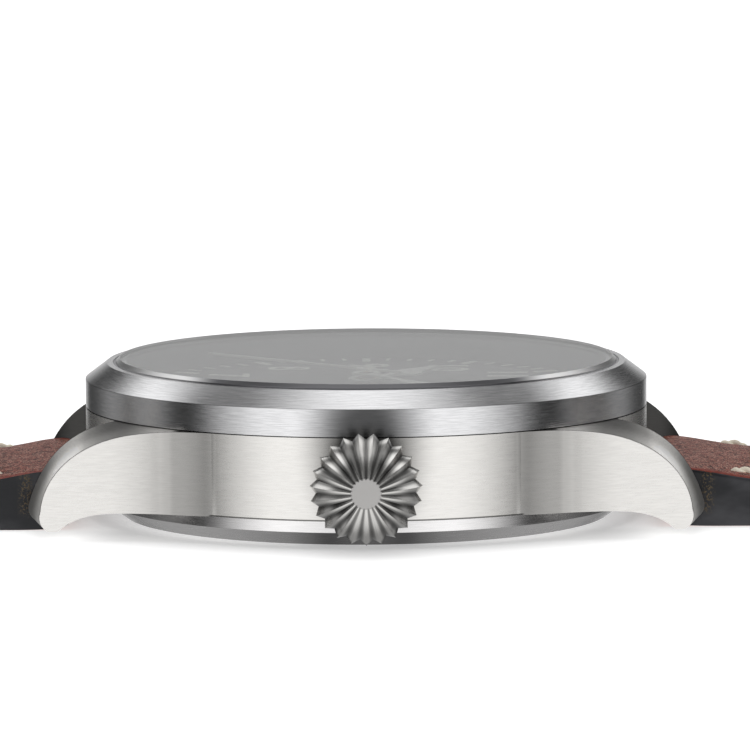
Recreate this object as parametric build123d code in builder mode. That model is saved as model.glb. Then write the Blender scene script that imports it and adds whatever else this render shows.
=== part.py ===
from build123d import *
from math import atan2, cos, degrees, hypot, radians, sin, sqrt
import os

os.makedirs("parts", exist_ok=True)

# A hand-wound pilot watch, in millimetres.
# +Z is up through the dial, 12 o'clock is +X, the crown at 3 o'clock points along -Y.
# The origin is on the watch's axis, on the flat face of the case back.
cut = Mode.SUBTRACT

# Clearances
slip = 0.05            # between a shaft and its hole, on the radius
seat = 0.02            # between a ring and its seat, on the radius
overrun = 1.0          # how far a cutting shape runs past the face that it cuts

# Case back, up from the face that the watch lies on
back_height = 2.0
back_cone_height = 1.04
back_cone_width = 1.4
back_seam_depth = 0.16
back_land_width = 1.4
back_rim_width = 3.4
neck_gap = 0.35
neck_wall = 0.9
neck_height = 1.4
back_glass_thick = 1.2
window_lip_width = 0.6
key_notches = 6
key_notch_width = 2.4
key_notch_length = 1.5
key_notch_depth = 0.5
gasket_wall = 0.2
back_groove_gap = 0.4
back_groove_width = 0.65
back_groove_depth = 0.4

# Middle of the case
seam_height = 0.06
band_height = 6.05
band_low = back_height + seam_height
band_high = band_low + band_height

# Bezel and crystal
bezel_height = 3.29
bezel_side_height = 2.09
bezel_slope_width = 1.6
bezel_lip_width = 0.46
bezel_seam_height = 0.08
bezel_seam_depth = 0.16
crystal_ledge_width = 0.75
crystal_thick = 1.7
crystal_rise = 0.33
crystal_bevel = 0.25
spigot_wall = 0.85
bezel_gasket_thick = 0.2
bezel_high = band_high + bezel_height
crystal_high = bezel_high + crystal_rise
crystal_low = crystal_high - crystal_thick

# Lugs
lug_root_width = 6.6
lug_tip_width = 5.5
lug_end_length = 1.95
lug_blend = 9.0
lug_low = 0.62
lug_hole_depth = 1.5
# Shares of the lug's reach and of its height, from the root out to the tip and back
lug_inner_top_shares = (
    (0.45, 1.0), (0.56, 1.0), (0.797, 0.953), (0.913, 0.713),
    (0.969, 0.453), (0.999, 0.200),
)
lug_inner_low_shares = (
    (0.974, 0.012), (0.935, 0.012), (0.84, 0.170), (0.74, 0.2),
    (0.60, 0.193), (0.45, 0.193),
)
lug_outer_top_shares = (
    (0.45, 1.0), (0.54, 0.998), (0.737, 0.925), (0.872, 0.690),
    (0.928, 0.45), (0.948, 0.200),
)
lug_outer_low_shares = (
    (0.930, 0.012), (0.900, 0.012), (0.83, 0.150), (0.73, 0.197),
    (0.60, 0.193), (0.45, 0.193),
)

# Crown, tube and stem
stem_height = 4.8
crown_radius = 4.06
crown_flutes = 23
crown_flute_depth = 0.44
crown_neck_radius = 3.4
crown_disc_radius = 1.13
crown_gap = 0.35
crown_skirt = 2.6
crown_face = 2.45
# Shares of the face's length, of the way out from disc to edge and of the flutes' depth, from the edge in
crown_dome_shares = ((0, 1, 1), (0.28, 0.884, 0.95), (0.58, 0.631, 0.8), (0.82, 0.314, 0.6), (1, 0, 0.33))
crown_bore_depth = 3.15
tube_radius = 1.25
tube_bore = 0.8
tube_reach = 2.1
crown_seal_wall = 0.58
crown_seal_width = 0.9
stem_radius = 0.6
stem_thread_radius = 0.45
stem_square = 0.76
stem_pivot_radius = 0.3
crown_travel = 1.0

# Dial and hands
dial_gap = 0.11
dial_thick = 0.4
dial_lap_width = 0.85
dial_bore = 1.15
dial_feet_radius = 0.35
dial_feet_length = 0.7
dial_feet_gap = 1.6
dial_feet_angles = (45.0, 225.0)
flange_foot_width = 0.55
flange_lip_width = 0.15
flange_gap = 0.13
ink_thick = 0.04
mark_gap = 1.1
minute_mark_length = 1.1
hour_mark_length = 1.9
minute_mark_width = 0.28
hour_mark_width = 0.6
triangle_width = 2.6
triangle_height = 2.4
triangle_gap = 0.5
dot_radius = 0.36
hand_thick = 0.15
hand_hub = 0.5
# Outline of a sword hand: shares of its length and of its width, along one edge
hand_outline_shares = ((0.0, 0.16), (0.35, 0.16), (0.6, 0.5), (1.0, 0.04))
hour_hand_length = 9.6
hour_hand_width = 2.0
minute_hand_length = 14.2
minute_hand_width = 1.7
seconds_hand_gap = 1.25
seconds_hand_width = 0.3
seconds_tail_length = 4.6
seconds_tail_radius = 0.75
hour_hand_angle = 55.0
minute_hand_angle = -60.0
seconds_hand_angle = 138.4
dial_high = band_high - dial_gap
plate_high = dial_high - dial_thick

# Movement plate and bridges
plate_rim_width = 0.25
plate_thick = 4.0
bridge_step_width = 1.1
bridge_screw_gap = 2.2
bridge_thick = 0.7
bridge_split_distance = 1.6
bridge_gap = 0.3
bridge_split_angle = -50.0
cock_side_distance = 3.7
cock_top_distance = 7.2
cock_width = 2.4
plate_low = plate_high - plate_thick
bridge_low = plate_low - bridge_thick
holder_wall = 1.95
holder_shelf_width = 1.25
clamp_width = 3.0
clamp_thick = 0.25
clamp_reach = 0.85
clamp_angles = (62.0, 242.0)
screw_head_radius = 0.75
screw_head_thick = 0.35
screw_shank_radius = 0.42
screw_length = 1.3
screw_slot = 0.2
jewel_radius = 0.6
jewel_thick = 0.45
pivot_radius = 0.14

# Wheel train: tooth counts and distances between centres
barrel_teeth = 60
barrel_pinion = 10
barrel_distance = 6.72
barrel_angle = -30.0
centre_teeth = 64
third_pinion = 8
third_distance = 4.95
third_angle = 60.0
third_teeth = 60
fourth_pinion = 8
fourth_teeth = 72
escape_pinion = 6
escape_distance = 4.94
escape_angle = 150.0
escape_teeth = 20
escape_radius = 2.3
pallet_reach_share = 1.173     # pallet arbor from the escape wheel, as a share of its radius
balance_distance = 9.65
balance_angle = 190.0
balance_radius = 4.7
balance_rim = 0.6
balance_rim_thick = 0.4
wheel_thick = 0.2
wheel_gap = 0.1
stack_gap = 0.19
barrel_height = 1.3
barrel_tooth_thick = 0.35
barrel_wall = 0.3
arbor_radius = 0.85
spring_turns = 7
spring_thick = 0.14
hairspring_turns = 8
hairspring_inner = 0.75
hairspring_outer = 3.1
hairspring_thick = 0.07
hairspring_height = 0.14

# Motion work under the dial
works_distance = 3.0
works_angle = 250.0
works_depth = 0.75
works_radius = 5.5
cannon_teeth = 12
minute_teeth = 36
minute_pinion = 10
hour_teeth = 40
works_thick = 0.2
centre_arbor_radius = 0.42
fourth_arbor_radius = 0.2
cannon_wall = 0.16
hour_wall = 0.2

# Winding work
winding_teeth = 16
crown_wheel_teeth = 32
ratchet_teeth = 50
winding_module = 0.2
winding_pinion_radius = 1.62
winding_pinion_width = 0.8
face_tooth_ring = 2.6
face_tooth_length = 0.6
face_tooth_width = 0.2
face_tooth_high = 0.62
keyless_low = 12.35
keyless_high = 8.9
keyless_half_width = 2.0
clutch_radius = 1.2
clutch_length = 1.5
groove_centre = 12.9
groove_width = 0.6
groove_radius = 0.35
lever_pivot_reach = 2.6
lever_thick = 0.25
lever_pin_radius = 0.2
click_angle = 62.0
click_distance = 1.9
click_width = 0.9
click_screw_radius = 0.4
ratchet_square = 1.1
core_radius = 0.9
train_bridge_distance = 2.2
arbor_core = 1.3
train_spokes = 5
spoke_width = 0.3
third_arbor_radius = 0.3
pallet_hole_radius = 0.19
escape_phase = 4.5
# Each tooth of the escape wheel: its reach as a share of the radius, and its lead as a share of a tooth
escape_tooth_shares = ((0.80, 0.0), (0.98, 0.42), (1.0, 0.52), (0.97, 0.56), (0.80, 0.40))
pallet_half_angle = 31.5
stone_reach = 2.42
stone_length = 0.5
stone_width = 0.16
fork_width = 0.32
fork_slot_length = 0.32
impulse_pin_radius = 0.11
balance_hub = 0.7
balance_arms = 3
staff_radius = 0.3
stud_radius = 0.2

# Strap and buckle
bar_distance = 1.9
bar_height = 1.65
bar_radius = 0.9
bar_tip_radius = 0.45
strap_width = 19.6
strap_side_gap = 0.2
strap_end_width = 18.0
strap_taper_length = 62.0
strap_high = 4.25
strap_shoulder = 3.95
strap_thin = 2.5
strap_end_gap = 0.35
strap_round = 1.15
padding_length = 8.0
padding_middle_share = 4 / 11
buckle_half_length = 75.0
hole_half_length = 115.0
strap_lift = 1.3
lift_length = 11.0
lift_gap = 28.0        # from the end of the lift to the buckle's bar
flat_length = 6.0
strap_holes = 7
strap_hole_radius = 0.9
strap_hole_pitch = 6.5
strap_hole_gap = 28.0
strap_point_length = 12.0
strap_point_width = 9.0
stitch_inset = 1.8
stitch_start = 3.8
stitch_pitch = 3.35
stitch_length = 2.45
stitch_radius = 0.36
stitch_proud = 0.12
keeper_wall = 1.2
keeper_room = 2.6
keeper_width = 6.0
fixed_keeper_gap = 6.0
free_keeper_gap = 17.0
buckle_bar_radius = 0.75
buckle_loop_radius = 1.5
buckle_arm = 2.2
buckle_arm_gap = 0.3
buckle_length = 11.5
buckle_front = 2.2
tang_width = 2.6
tang_thick = 0.95
tang_ring = 1.35
tang_slot_width = 3.4
tang_slot_length = 2.8

# Levels of the wheels, up from the plate's lower face towards the dial
fourth_low = plate_low + wheel_gap
fourth_high = fourth_low + wheel_thick
third_low = fourth_high + stack_gap
third_high = third_low + wheel_thick
centre_low = third_high + stack_gap
centre_high = centre_low + wheel_thick
barrel_low = centre_high + stack_gap
barrel_high = barrel_low + barrel_height
barrel_floor = barrel_high + wheel_gap
escape_low = centre_high + stack_gap
escape_high = escape_low + wheel_thick
escape_floor = escape_high + 2 * wheel_gap
balance_shelf = centre_high + wheel_gap
hairspring_low = plate_low + wheel_gap
balance_low = hairspring_low + hairspring_height + wheel_gap
balance_high = balance_low + balance_rim_thick
works_low = plate_high - works_depth
pallet_bridge_low = balance_high + wheel_gap
ratchet_high = bridge_low - wheel_gap
ratchet_low = ratchet_high - screw_head_thick

# Radii that follow from one another, from the movement out to the strap's spring bars
plate_radius = balance_distance + balance_radius + 4 * wheel_gap + plate_rim_width
bridge_radius = plate_radius - bridge_step_width
bridge_screw_distance = plate_radius - bridge_screw_gap
holder_radius = plate_radius + holder_wall
dial_radius = holder_radius + dial_lap_width
dial_feet_distance = plate_radius - dial_feet_gap
flange_foot = dial_radius - flange_foot_width
flange_head = dial_radius + flange_lip_width
bezel_seat_radius = flange_head + flange_gap + spigot_wall + seat
crystal_radius = flange_head + crystal_ledge_width
crystal_bore = crystal_radius + gasket_wall + 2 * seat
bezel_rim_radius = crystal_bore + bezel_lip_width
case_radius = bezel_rim_radius + bezel_slope_width
neck_radius = holder_radius + neck_gap + neck_wall
back_flange_radius = neck_radius + back_land_width
back_radius = back_flange_radius - back_cone_width
back_groove_radius = neck_radius + back_groove_gap
back_glass_radius = back_radius - back_rim_width
window_radius = back_glass_radius - window_lip_width
minute_mark_radius = dial_radius - mark_gap
triangle_top = minute_mark_radius - hour_mark_length - triangle_gap
seconds_hand_length = flange_foot - seconds_hand_gap
lug_inner = strap_width / 2 + strap_side_gap
lug_outer = lug_inner + lug_root_width
lug_tip_outer = lug_inner + lug_tip_width
bar_centre = case_radius + bar_distance
lug_reach = bar_centre + lug_end_length

# Places along the buckle's half of the strap, measured from its spring bar
lift_end = buckle_half_length - lift_gap
lift_start = lift_end - lift_length
padding_run = lift_start - flat_length
padding_middle = padding_length + padding_middle_share * (padding_run - padding_length)
fixed_keeper_centre = buckle_half_length - fixed_keeper_gap
free_keeper_centre = buckle_half_length - free_keeper_gap


def polar(distance, angle):
    return (distance * cos(radians(angle)), distance * sin(radians(angle)))


def shift(point, other, share=1.0):
    return (point[0] + share * other[0], point[1] + share * other[1])


# Centres of the wheels
centre = (0, 0)
barrel_centre = polar(barrel_distance, barrel_angle)
third_centre = polar(third_distance, third_angle)
escape_centre = polar(escape_distance, escape_angle)
balance_centre = polar(balance_distance, balance_angle)
works_centre = polar(works_distance, works_angle)
lever_angle = degrees(atan2(balance_centre[1] - escape_centre[1], balance_centre[0] - escape_centre[0]))
lever_line = hypot(balance_centre[0] - escape_centre[0], balance_centre[1] - escape_centre[1])
pallet_distance = pallet_reach_share * escape_radius
pallet_centre = shift(escape_centre, polar(pallet_distance, lever_angle))
cock_foot = shift(pallet_centre, polar(0.6 * lever_line, lever_angle - 90))
crown_wheel_radius = winding_module * crown_wheel_teeth / 2
ratchet_radius = winding_module * ratchet_teeth / 2
crown_wheel_centre = (
    0,
    barrel_centre[1] - sqrt((crown_wheel_radius + ratchet_radius) ** 2 - barrel_centre[0] ** 2),
)
click_pivot = shift(barrel_centre, polar(ratchet_radius + click_distance, click_angle + 14))

# Modules that follow from the distances and the tooth counts
barrel_module = 2 * barrel_distance / (barrel_teeth + barrel_pinion)
centre_module = 2 * third_distance / (centre_teeth + third_pinion)
third_module = 2 * third_distance / (third_teeth + fourth_pinion)
fourth_module = 2 * escape_distance / (fourth_teeth + escape_pinion)
cannon_module = 2 * works_distance / (cannon_teeth + minute_teeth)
hour_module = 2 * works_distance / (minute_pinion + hour_teeth)

# Tooth shape, as shares of the module and of the pitch
tooth_tip_share = 0.75
tooth_root_share = 1.1
tooth_root_half_share = 0.29
tooth_tip_half_share = 0.12


def mesh_phase(teeth_a, phase_a, direction, teeth_b):
    """Angle of gear B's first tooth, so that it meshes with gear A seen from A along direction."""
    pitch_a = 360 / teeth_a
    pitch_b = 360 / teeth_b
    past = ((direction - phase_a) / pitch_a) % 1
    return direction + 180 - pitch_b * (0.5 - past)


def gear_points(teeth, module, phase, at):
    tip = module * (teeth / 2 + tooth_tip_share)
    root = module * (teeth / 2 - tooth_root_share)
    pitch = 360 / teeth
    points = []
    for tooth in range(teeth):
        middle = phase + tooth * pitch
        points.append(shift(at, polar(root, middle - tooth_root_half_share * pitch)))
        points.append(shift(at, polar(tip, middle - tooth_tip_half_share * pitch)))
        points.append(shift(at, polar(tip, middle + tooth_tip_half_share * pitch)))
        points.append(shift(at, polar(root, middle + tooth_root_half_share * pitch)))
    return points


def ring(outer, inner, low, high, at=(0, 0), mode=Mode.ADD):
    with BuildSketch(Plane.XY.offset(low)) as face:
        with Locations(at):
            Circle(outer)
            if inner:
                Circle(inner, mode=cut)
    extrude(face.sketch, amount=high - low, mode=mode)


def sheet(points, low, high, mode=Mode.ADD):
    with BuildSketch(Plane.XY.offset(low)) as face:
        with BuildLine():
            Polyline(*points, close=True)
        make_face()
    extrude(face.sketch, amount=high - low, mode=mode)


def slab(length, width, low, high, at=(0, 0), angle=0, mode=Mode.ADD):
    with BuildSketch(Plane.XY.offset(low)) as face:
        with Locations(at):
            Rectangle(length, width, rotation=angle)
    extrude(face.sketch, amount=high - low, mode=mode)


def gear(teeth, module, phase, low, high, at=(0, 0), bore=0.0):
    with BuildSketch(Plane.XY.offset(low)) as face:
        with BuildLine():
            Polyline(*gear_points(teeth, module, phase, at), close=True)
        make_face()
        if bore:
            with Locations(at):
                Circle(bore, mode=cut)
    extrude(face.sketch, amount=high - low)


def lathe(points, mode=Mode.ADD):
    with BuildSketch(Plane.XZ) as face:
        with BuildLine():
            Polyline(*points, close=True)
        make_face()
    revolve(face.sketch, axis=Axis.Z, mode=mode)


def radial_rod(radius, near, far, mode=Mode.ADD, inner=0.0):
    """A round bar on the stem's axis, from near to far, measured out along -Y."""
    with BuildSketch(Plane.XZ.offset(near)) as face:
        with Locations((0, stem_height)):
            Circle(radius)
            if inner:
                Circle(inner, mode=cut)
    extrude(face.sketch, amount=far - near, mode=mode)


def cross_rod(radius, centre_x, height, half_length, inner=0.0, start=None, mode=Mode.ADD):
    """A round bar across the watch, along Y, about its middle or from start to half_length."""
    begin = -half_length if start is None else start
    with BuildSketch(Plane.XZ.offset(begin)) as face:
        with Locations((centre_x, height)):
            Circle(radius)
            if inner:
                Circle(inner, mode=cut)
    extrude(face.sketch, amount=half_length - begin, mode=mode)


def side_profile(points, near, far, mode=Mode.ADD):
    """A flat shape in the X and Z directions, given its width from near to far along -Y."""
    with BuildSketch(Plane.XZ.offset(near)) as face:
        with BuildLine():
            Polyline(*points, close=True)
        make_face()
    extrude(face.sketch, amount=far - near, mode=mode)


def screw(at, head_low, head=screw_head_radius, shank=screw_shank_radius, length=screw_length, angle=0):
    """A slotted screw whose head is on the lower side, with its shank towards the dial."""
    ring(head, 0, head_low, head_low + screw_head_thick, at)
    ring(shank, 0, head_low + screw_head_thick, head_low + screw_head_thick + length, at)
    slab(3 * head, screw_slot, head_low - overrun, head_low + screw_slot, at, angle, cut)


def spiral_face(inner, outer, turns, thick, low, at, angle=0):
    """A flat spiral ribbon made of half-turn arcs, from the inner radius to the outer one."""
    halves = 2 * turns
    step = (outer - inner) / halves
    ends = Plane((at[0], at[1], low), x_dir=(cos(radians(angle)), sin(radians(angle)), 0), z_dir=(0, 0, 1))
    with BuildSketch(ends) as face:
        with BuildLine():
            for half in range(halves):
                sign = 1 if half % 2 == 0 else -1
                mean = inner + (half + 0.5) * step
                for edge in (mean - thick / 2, mean + thick / 2):
                    CenterArc((-sign * step / 2, 0), edge, 0 if sign > 0 else 180, 180)
            Line((inner - thick / 2, 0), (inner + thick / 2, 0))
            Line((outer - thick / 2, 0), (outer + thick / 2, 0))
        make_face()
    return face.sketch


# Phases of the teeth, from the fourth wheel outwards
fourth_phase = 0.0
escape_pinion_phase = mesh_phase(fourth_teeth, fourth_phase, escape_angle, escape_pinion)
third_phase = mesh_phase(fourth_pinion, fourth_phase, third_angle, third_teeth)
centre_phase = mesh_phase(third_pinion, third_phase, third_angle + 180, centre_teeth)
barrel_phase = mesh_phase(barrel_pinion, centre_phase, barrel_angle, barrel_teeth)
minute_phase = mesh_phase(cannon_teeth, centre_phase, works_angle, minute_teeth)
hour_phase = mesh_phase(minute_pinion, minute_phase, works_angle + 180, hour_teeth)
crown_wheel_phase = -90.0 + 180 / crown_wheel_teeth
ratchet_direction = degrees(atan2(barrel_centre[1] - crown_wheel_centre[1], barrel_centre[0]))
ratchet_phase = mesh_phase(crown_wheel_teeth, crown_wheel_phase, ratchet_direction, ratchet_teeth)

# Sizes of the stack on the centre line
cannon_bore = centre_arbor_radius + seat
cannon_pipe = cannon_bore + cannon_wall
hour_bore = cannon_pipe + slip
hour_pipe = hour_bore + hour_wall
minute_wheel_low = works_low + wheel_gap
minute_wheel_high = minute_wheel_low + works_thick
hour_wheel_low = minute_wheel_high + wheel_gap
hour_wheel_high = hour_wheel_low + works_thick
hour_hand_low = dial_high + 3.5 * wheel_gap
minute_hand_low = hour_hand_low + hand_thick + 2.5 * wheel_gap
seconds_hand_low = minute_hand_low + hand_thick + 2 * wheel_gap

# Case back: a screwed ring with key notches, and its window
back_glass_seat = back_glass_radius + gasket_wall + 2 * seat
with BuildPart() as case_back:
    lathe((
        (back_glass_seat, 0),
        (back_radius, 0),
        (back_flange_radius, back_cone_height),
        (back_flange_radius, back_height - seam_height),
        (back_flange_radius - back_seam_depth, back_height - seam_height),
        (back_flange_radius - back_seam_depth, back_height),
        (neck_radius, back_height),
        (neck_radius, back_height + neck_height),
        (neck_radius - neck_wall, back_height + neck_height),
        (neck_radius - neck_wall, back_height),
        (window_radius, back_height),
        (window_radius, back_glass_thick + seat),
        (back_glass_seat, back_glass_thick + seat),
    ))
    ring(back_groove_radius + back_groove_width, back_groove_radius, back_height - back_groove_depth,
         back_height + overrun, mode=cut)
    for notch in range(key_notches):
        slab(key_notch_length, key_notch_width, -overrun, key_notch_depth,
             polar(back_radius - key_notch_length, notch * 360 / key_notches),
             notch * 360 / key_notches, cut)
case_back.part.label = "case_back"
export_step(case_back.part, "parts/case_back.step")

with BuildPart() as case_back_gasket:
    ring(back_groove_radius + back_groove_width - seat, back_groove_radius + seat,
         back_height - back_groove_depth + seat, band_low - seat)
case_back_gasket.part.label = "case_back_gasket"
export_step(case_back_gasket.part, "parts/case_back_gasket.step")

with BuildPart() as back_crystal:
    ring(back_glass_radius, 0, 0, back_glass_thick)
back_crystal.part.label = "back_crystal"
export_step(back_crystal.part, "parts/back_crystal.step")

with BuildPart() as back_crystal_gasket:
    ring(back_glass_radius + gasket_wall + seat, back_glass_radius + seat, slip, back_glass_thick)
back_crystal_gasket.part.label = "back_crystal_gasket"
export_step(back_crystal_gasket.part, "parts/back_crystal_gasket.step")

# Middle of the case with its four lugs
lug_height = band_high - lug_low


def lug_point(shares):
    return (shares[0] * lug_reach, lug_low + shares[1] * lug_height)


def lug_side(top_shares, low_shares, depth):
    top = [lug_point(shares) for shares in top_shares]
    low = [lug_point(shares) for shares in low_shares]
    with BuildSketch(Plane.XZ.offset(depth)) as face:
        with BuildLine():
            Spline(*top)
            ThreePointArc(
                top[-1],
                (top[-1][0] - 0.1 * (top[-1][0] - low[0][0]), (top[-1][1] + 2 * low[0][1]) / 3),
                low[0],
            )
            Line(low[0], low[1])
            Spline(*low[1:])
            Line(low[-1], top[0])
        make_face()
    return face.sketch


# A hollow arc blends the lug's flank into the round case
blend_centre = (sqrt((case_radius + lug_blend) ** 2 - (lug_outer + lug_blend) ** 2), -lug_outer - lug_blend)
blend_share = case_radius / (case_radius + lug_blend)
blend_foot = (blend_centre[0] * blend_share, blend_centre[1] * blend_share)
blend_middle_angle = (degrees(atan2(-blend_centre[1], -blend_centre[0])) + 90) / 2
with BuildPart() as lug:
    loft(Sketch() + [
        lug_side(lug_inner_top_shares, lug_inner_low_shares, lug_inner),
        lug_side(lug_outer_top_shares, lug_outer_low_shares, lug_outer),
        lug_side(lug_outer_top_shares, lug_outer_low_shares, lug_outer + lug_blend),
    ], ruled=True)
    with BuildSketch(Plane.XY) as lug_plan:
        with BuildLine():
            Polyline(
                blend_foot,
                (0, 0),
                (lug_reach + overrun, 0),
                (lug_reach + overrun, -lug_tip_outer),
                (blend_centre[0], -lug_outer),
            )
            ThreePointArc(
                (blend_centre[0], -lug_outer),
                shift(blend_centre, polar(lug_blend, blend_middle_angle)),
                blend_foot,
            )
        make_face()
    extrude(lug_plan.sketch, amount=2 * band_high, mode=Mode.INTERSECT)

with BuildPart() as mid_case:
    ring(case_radius, 0, band_low, band_high)
    add(lug.part)
    add(mirror(lug.part, about=Plane.XZ, mode=Mode.PRIVATE))
    add(mirror(lug.part, about=Plane.YZ, mode=Mode.PRIVATE))
    add(mirror(mirror(lug.part, about=Plane.XZ, mode=Mode.PRIVATE), about=Plane.YZ, mode=Mode.PRIVATE))
    ring(lug_reach, 0, band_high, band_high + overrun, mode=cut)
    ring(back_flange_radius + slip, 0, lug_low, band_low, mode=cut)
    ring(holder_radius + seat, 0, band_low - overrun, band_high + overrun, mode=cut)
    ring(neck_radius + slip, 0, band_low - overrun, back_height + neck_height + slip, mode=cut)
    ring(bezel_seat_radius, 0, plate_high, band_high + overrun, mode=cut)
    radial_rod(tube_radius + seat, 0, case_radius + overrun, cut)
    for side in (-1, 1):
        cross_rod(bar_tip_radius + slip, side * bar_centre, bar_height, lug_inner + lug_hole_depth, mode=cut)
mid_case.part.label = "mid_case"
export_step(mid_case.part, "parts/mid_case.step")

# Bezel, crystal and the rings between them
crystal_ledge_high = crystal_low - slip
with BuildPart() as bezel:
    lathe((
        (case_radius - bezel_seam_depth, band_high),
        (case_radius - bezel_seam_depth, band_high + bezel_seam_height),
        (case_radius, band_high + bezel_seam_height),
        (case_radius, band_high + bezel_side_height),
        (bezel_rim_radius, bezel_high),
        (crystal_bore, bezel_high),
        (crystal_bore, crystal_ledge_high),
        (flange_head + seat, crystal_ledge_high),
        (flange_head + seat, band_high),
        (bezel_seat_radius - seat - spigot_wall, band_high),
        (bezel_seat_radius - seat - spigot_wall, plate_high + bezel_gasket_thick + seat),
        (bezel_seat_radius - seat, plate_high + bezel_gasket_thick + seat),
        (bezel_seat_radius - seat, band_high),
    ))
bezel.part.label = "bezel"
export_step(bezel.part, "parts/bezel.step")

with BuildPart() as bezel_gasket:
    ring(bezel_seat_radius - 2 * seat, bezel_seat_radius - spigot_wall, plate_high,
         plate_high + bezel_gasket_thick)
bezel_gasket.part.label = "bezel_gasket"
export_step(bezel_gasket.part, "parts/bezel_gasket.step")

with BuildPart() as crystal:
    ring(crystal_radius, 0, crystal_low, crystal_high)
    chamfer(crystal.edges().group_by(Axis.Z)[-1], crystal_bevel)
crystal.part.label = "crystal"
export_step(crystal.part, "parts/crystal.step")

with BuildPart() as crystal_gasket:
    ring(crystal_bore - seat, crystal_radius + seat, crystal_low, bezel_high - slip)
crystal_gasket.part.label = "crystal_gasket"
export_step(crystal_gasket.part, "parts/crystal_gasket.step")

with BuildPart() as flange_ring:
    lathe((
        (flange_foot, dial_high),
        (dial_radius, dial_high),
        (dial_radius, band_high),
        (flange_head, band_high),
        (flange_head, crystal_ledge_high),
        (flange_head - 2 * seat, crystal_ledge_high),
    ))
flange_ring.part.label = "flange_ring"
export_step(flange_ring.part, "parts/flange_ring.step")

# Crown tube, crown, its seal and the winding stem
tube_end = case_radius + tube_reach
crown_back = case_radius + crown_gap
crown_widest = crown_back + crown_skirt
crown_cavity = tube_radius + crown_seal_wall + 2 * seat
stem_inner = keyless_high - 4 * slip

with BuildPart() as crown_tube:
    radial_rod(tube_radius, holder_radius + 2 * slip, tube_end, inner=tube_bore)
crown_tube.part.label = "crown_tube"
export_step(crown_tube.part, "parts/crown_tube.step")


def star(tip, depth, away):
    points = []
    for flute in range(2 * crown_flutes):
        radius = tip if flute % 2 == 0 else tip - depth
        turn = polar(radius, -90 + flute * 180 / crown_flutes)
        points.append((turn[0], stem_height + turn[1]))
    with BuildSketch(Plane.XZ.offset(away)) as face:
        with BuildLine():
            Polyline(*points, close=True)
        make_face()
    return face.sketch


with BuildPart() as crown:
    loft(Sketch() + [
        star(crown_neck_radius, crown_flute_depth, crown_back),
        star(crown_radius, crown_flute_depth, crown_widest),
    ], ruled=True)
    loft(Sketch() + [
        star(crown_disc_radius + out * (crown_radius - crown_disc_radius), deep * crown_flute_depth,
             crown_widest + along * crown_face)
        for along, out, deep in crown_dome_shares
    ])
    radial_rod(crown_cavity, 0, crown_back + crown_bore_depth, cut)
    radial_rod(stem_thread_radius + seat, 0, crown_back + crown_bore_depth + overrun, cut)
crown.part.label = "crown"
export_step(crown.part, "parts/crown.step")

with BuildPart() as crown_gasket:
    radial_rod(crown_cavity - seat, crown_back + crown_seal_width, crown_back + 2 * crown_seal_width,
               inner=tube_radius + seat)
crown_gasket.part.label = "crown_gasket"
export_step(crown_gasket.part, "parts/crown_gasket.step")

shank_inner = keyless_low - winding_pinion_width - 3 * slip
square_inner = shank_inner - clutch_length - 4 * slip
with BuildPart() as winding_stem:
    radial_rod(stem_radius, shank_inner, crown_back + crown_bore_depth - 2 * slip)
    radial_rod(stem_thread_radius, shank_inner, crown_back + crown_bore_depth + overrun - slip)
    with BuildSketch(Plane.XZ.offset(square_inner)) as square:
        with Locations((0, stem_height)):
            Rectangle(stem_square, stem_square)
    extrude(square.sketch, amount=shank_inner - square_inner)
    radial_rod(stem_pivot_radius, stem_inner - overrun, square_inner)
    radial_rod(stem_radius + slip, groove_centre - groove_width / 2, groove_centre + groove_width / 2,
               cut, inner=groove_radius)
winding_stem.part.label = "winding_stem"
export_step(winding_stem.part, "parts/winding_stem.step")

pinion_far = crown_wheel_centre[1] * -1 + face_tooth_ring + winding_pinion_width / 2
pinion_module = winding_pinion_radius / (winding_teeth / 2 + tooth_tip_share)
with BuildPart() as winding_pinion:
    with BuildSketch(Plane.XZ.offset(pinion_far - winding_pinion_width)) as pinion_face:
        with BuildLine():
            Polyline(*gear_points(winding_teeth, pinion_module, -90.0, (0, stem_height)), close=True)
        make_face()
        with Locations((0, stem_height)):
            Circle(stem_radius + slip, mode=cut)
    extrude(pinion_face.sketch, amount=winding_pinion_width)
winding_pinion.part.label = "winding_pinion"
export_step(winding_pinion.part, "parts/winding_pinion.step")

clutch_far = pinion_far - winding_pinion_width - slip
with BuildPart() as clutch_wheel:
    radial_rod(clutch_radius, clutch_far - clutch_length, clutch_far)
    radial_rod(clutch_radius + slip, clutch_far - 0.6 * clutch_length, clutch_far - 0.3 * clutch_length,
               cut, inner=0.7 * clutch_radius)
    with BuildSketch(Plane.XZ.offset(clutch_far - clutch_length - overrun)) as square_hole:
        with Locations((0, stem_height)):
            Rectangle(stem_square + 2 * slip, stem_square + 2 * slip)
    extrude(square_hole.sketch, amount=clutch_length + 2 * overrun, mode=cut)
clutch_wheel.part.label = "clutch_wheel"
export_step(clutch_wheel.part, "parts/clutch_wheel.step")

lever_pivot = (lever_pivot_reach, -(groove_centre + crown_travel / 2))
lever_low = plate_high - 2 * lever_thick
with BuildPart() as setting_lever:
    ring(click_width, 0, lever_low, lever_low + lever_thick, lever_pivot)
    sheet((
        (0, -groove_centre + click_width / 2),
        (lever_pivot[0], lever_pivot[1] + click_width),
        (lever_pivot[0], lever_pivot[1] - click_width),
        (0, -groove_centre - click_width / 2),
    ), lever_low, lever_low + lever_thick)
    ring(click_width / 2, 0, lever_low, lever_low + lever_thick, (0, -groove_centre))
    ring(lever_pin_radius, 0, stem_height + groove_radius + 2 * slip, lever_low, (0, -groove_centre))
    ring(screw_shank_radius + slip, 0, lever_low - overrun, plate_high, lever_pivot, cut)
setting_lever.part.label = "setting_lever"
export_step(setting_lever.part, "parts/setting_lever.step")

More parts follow.
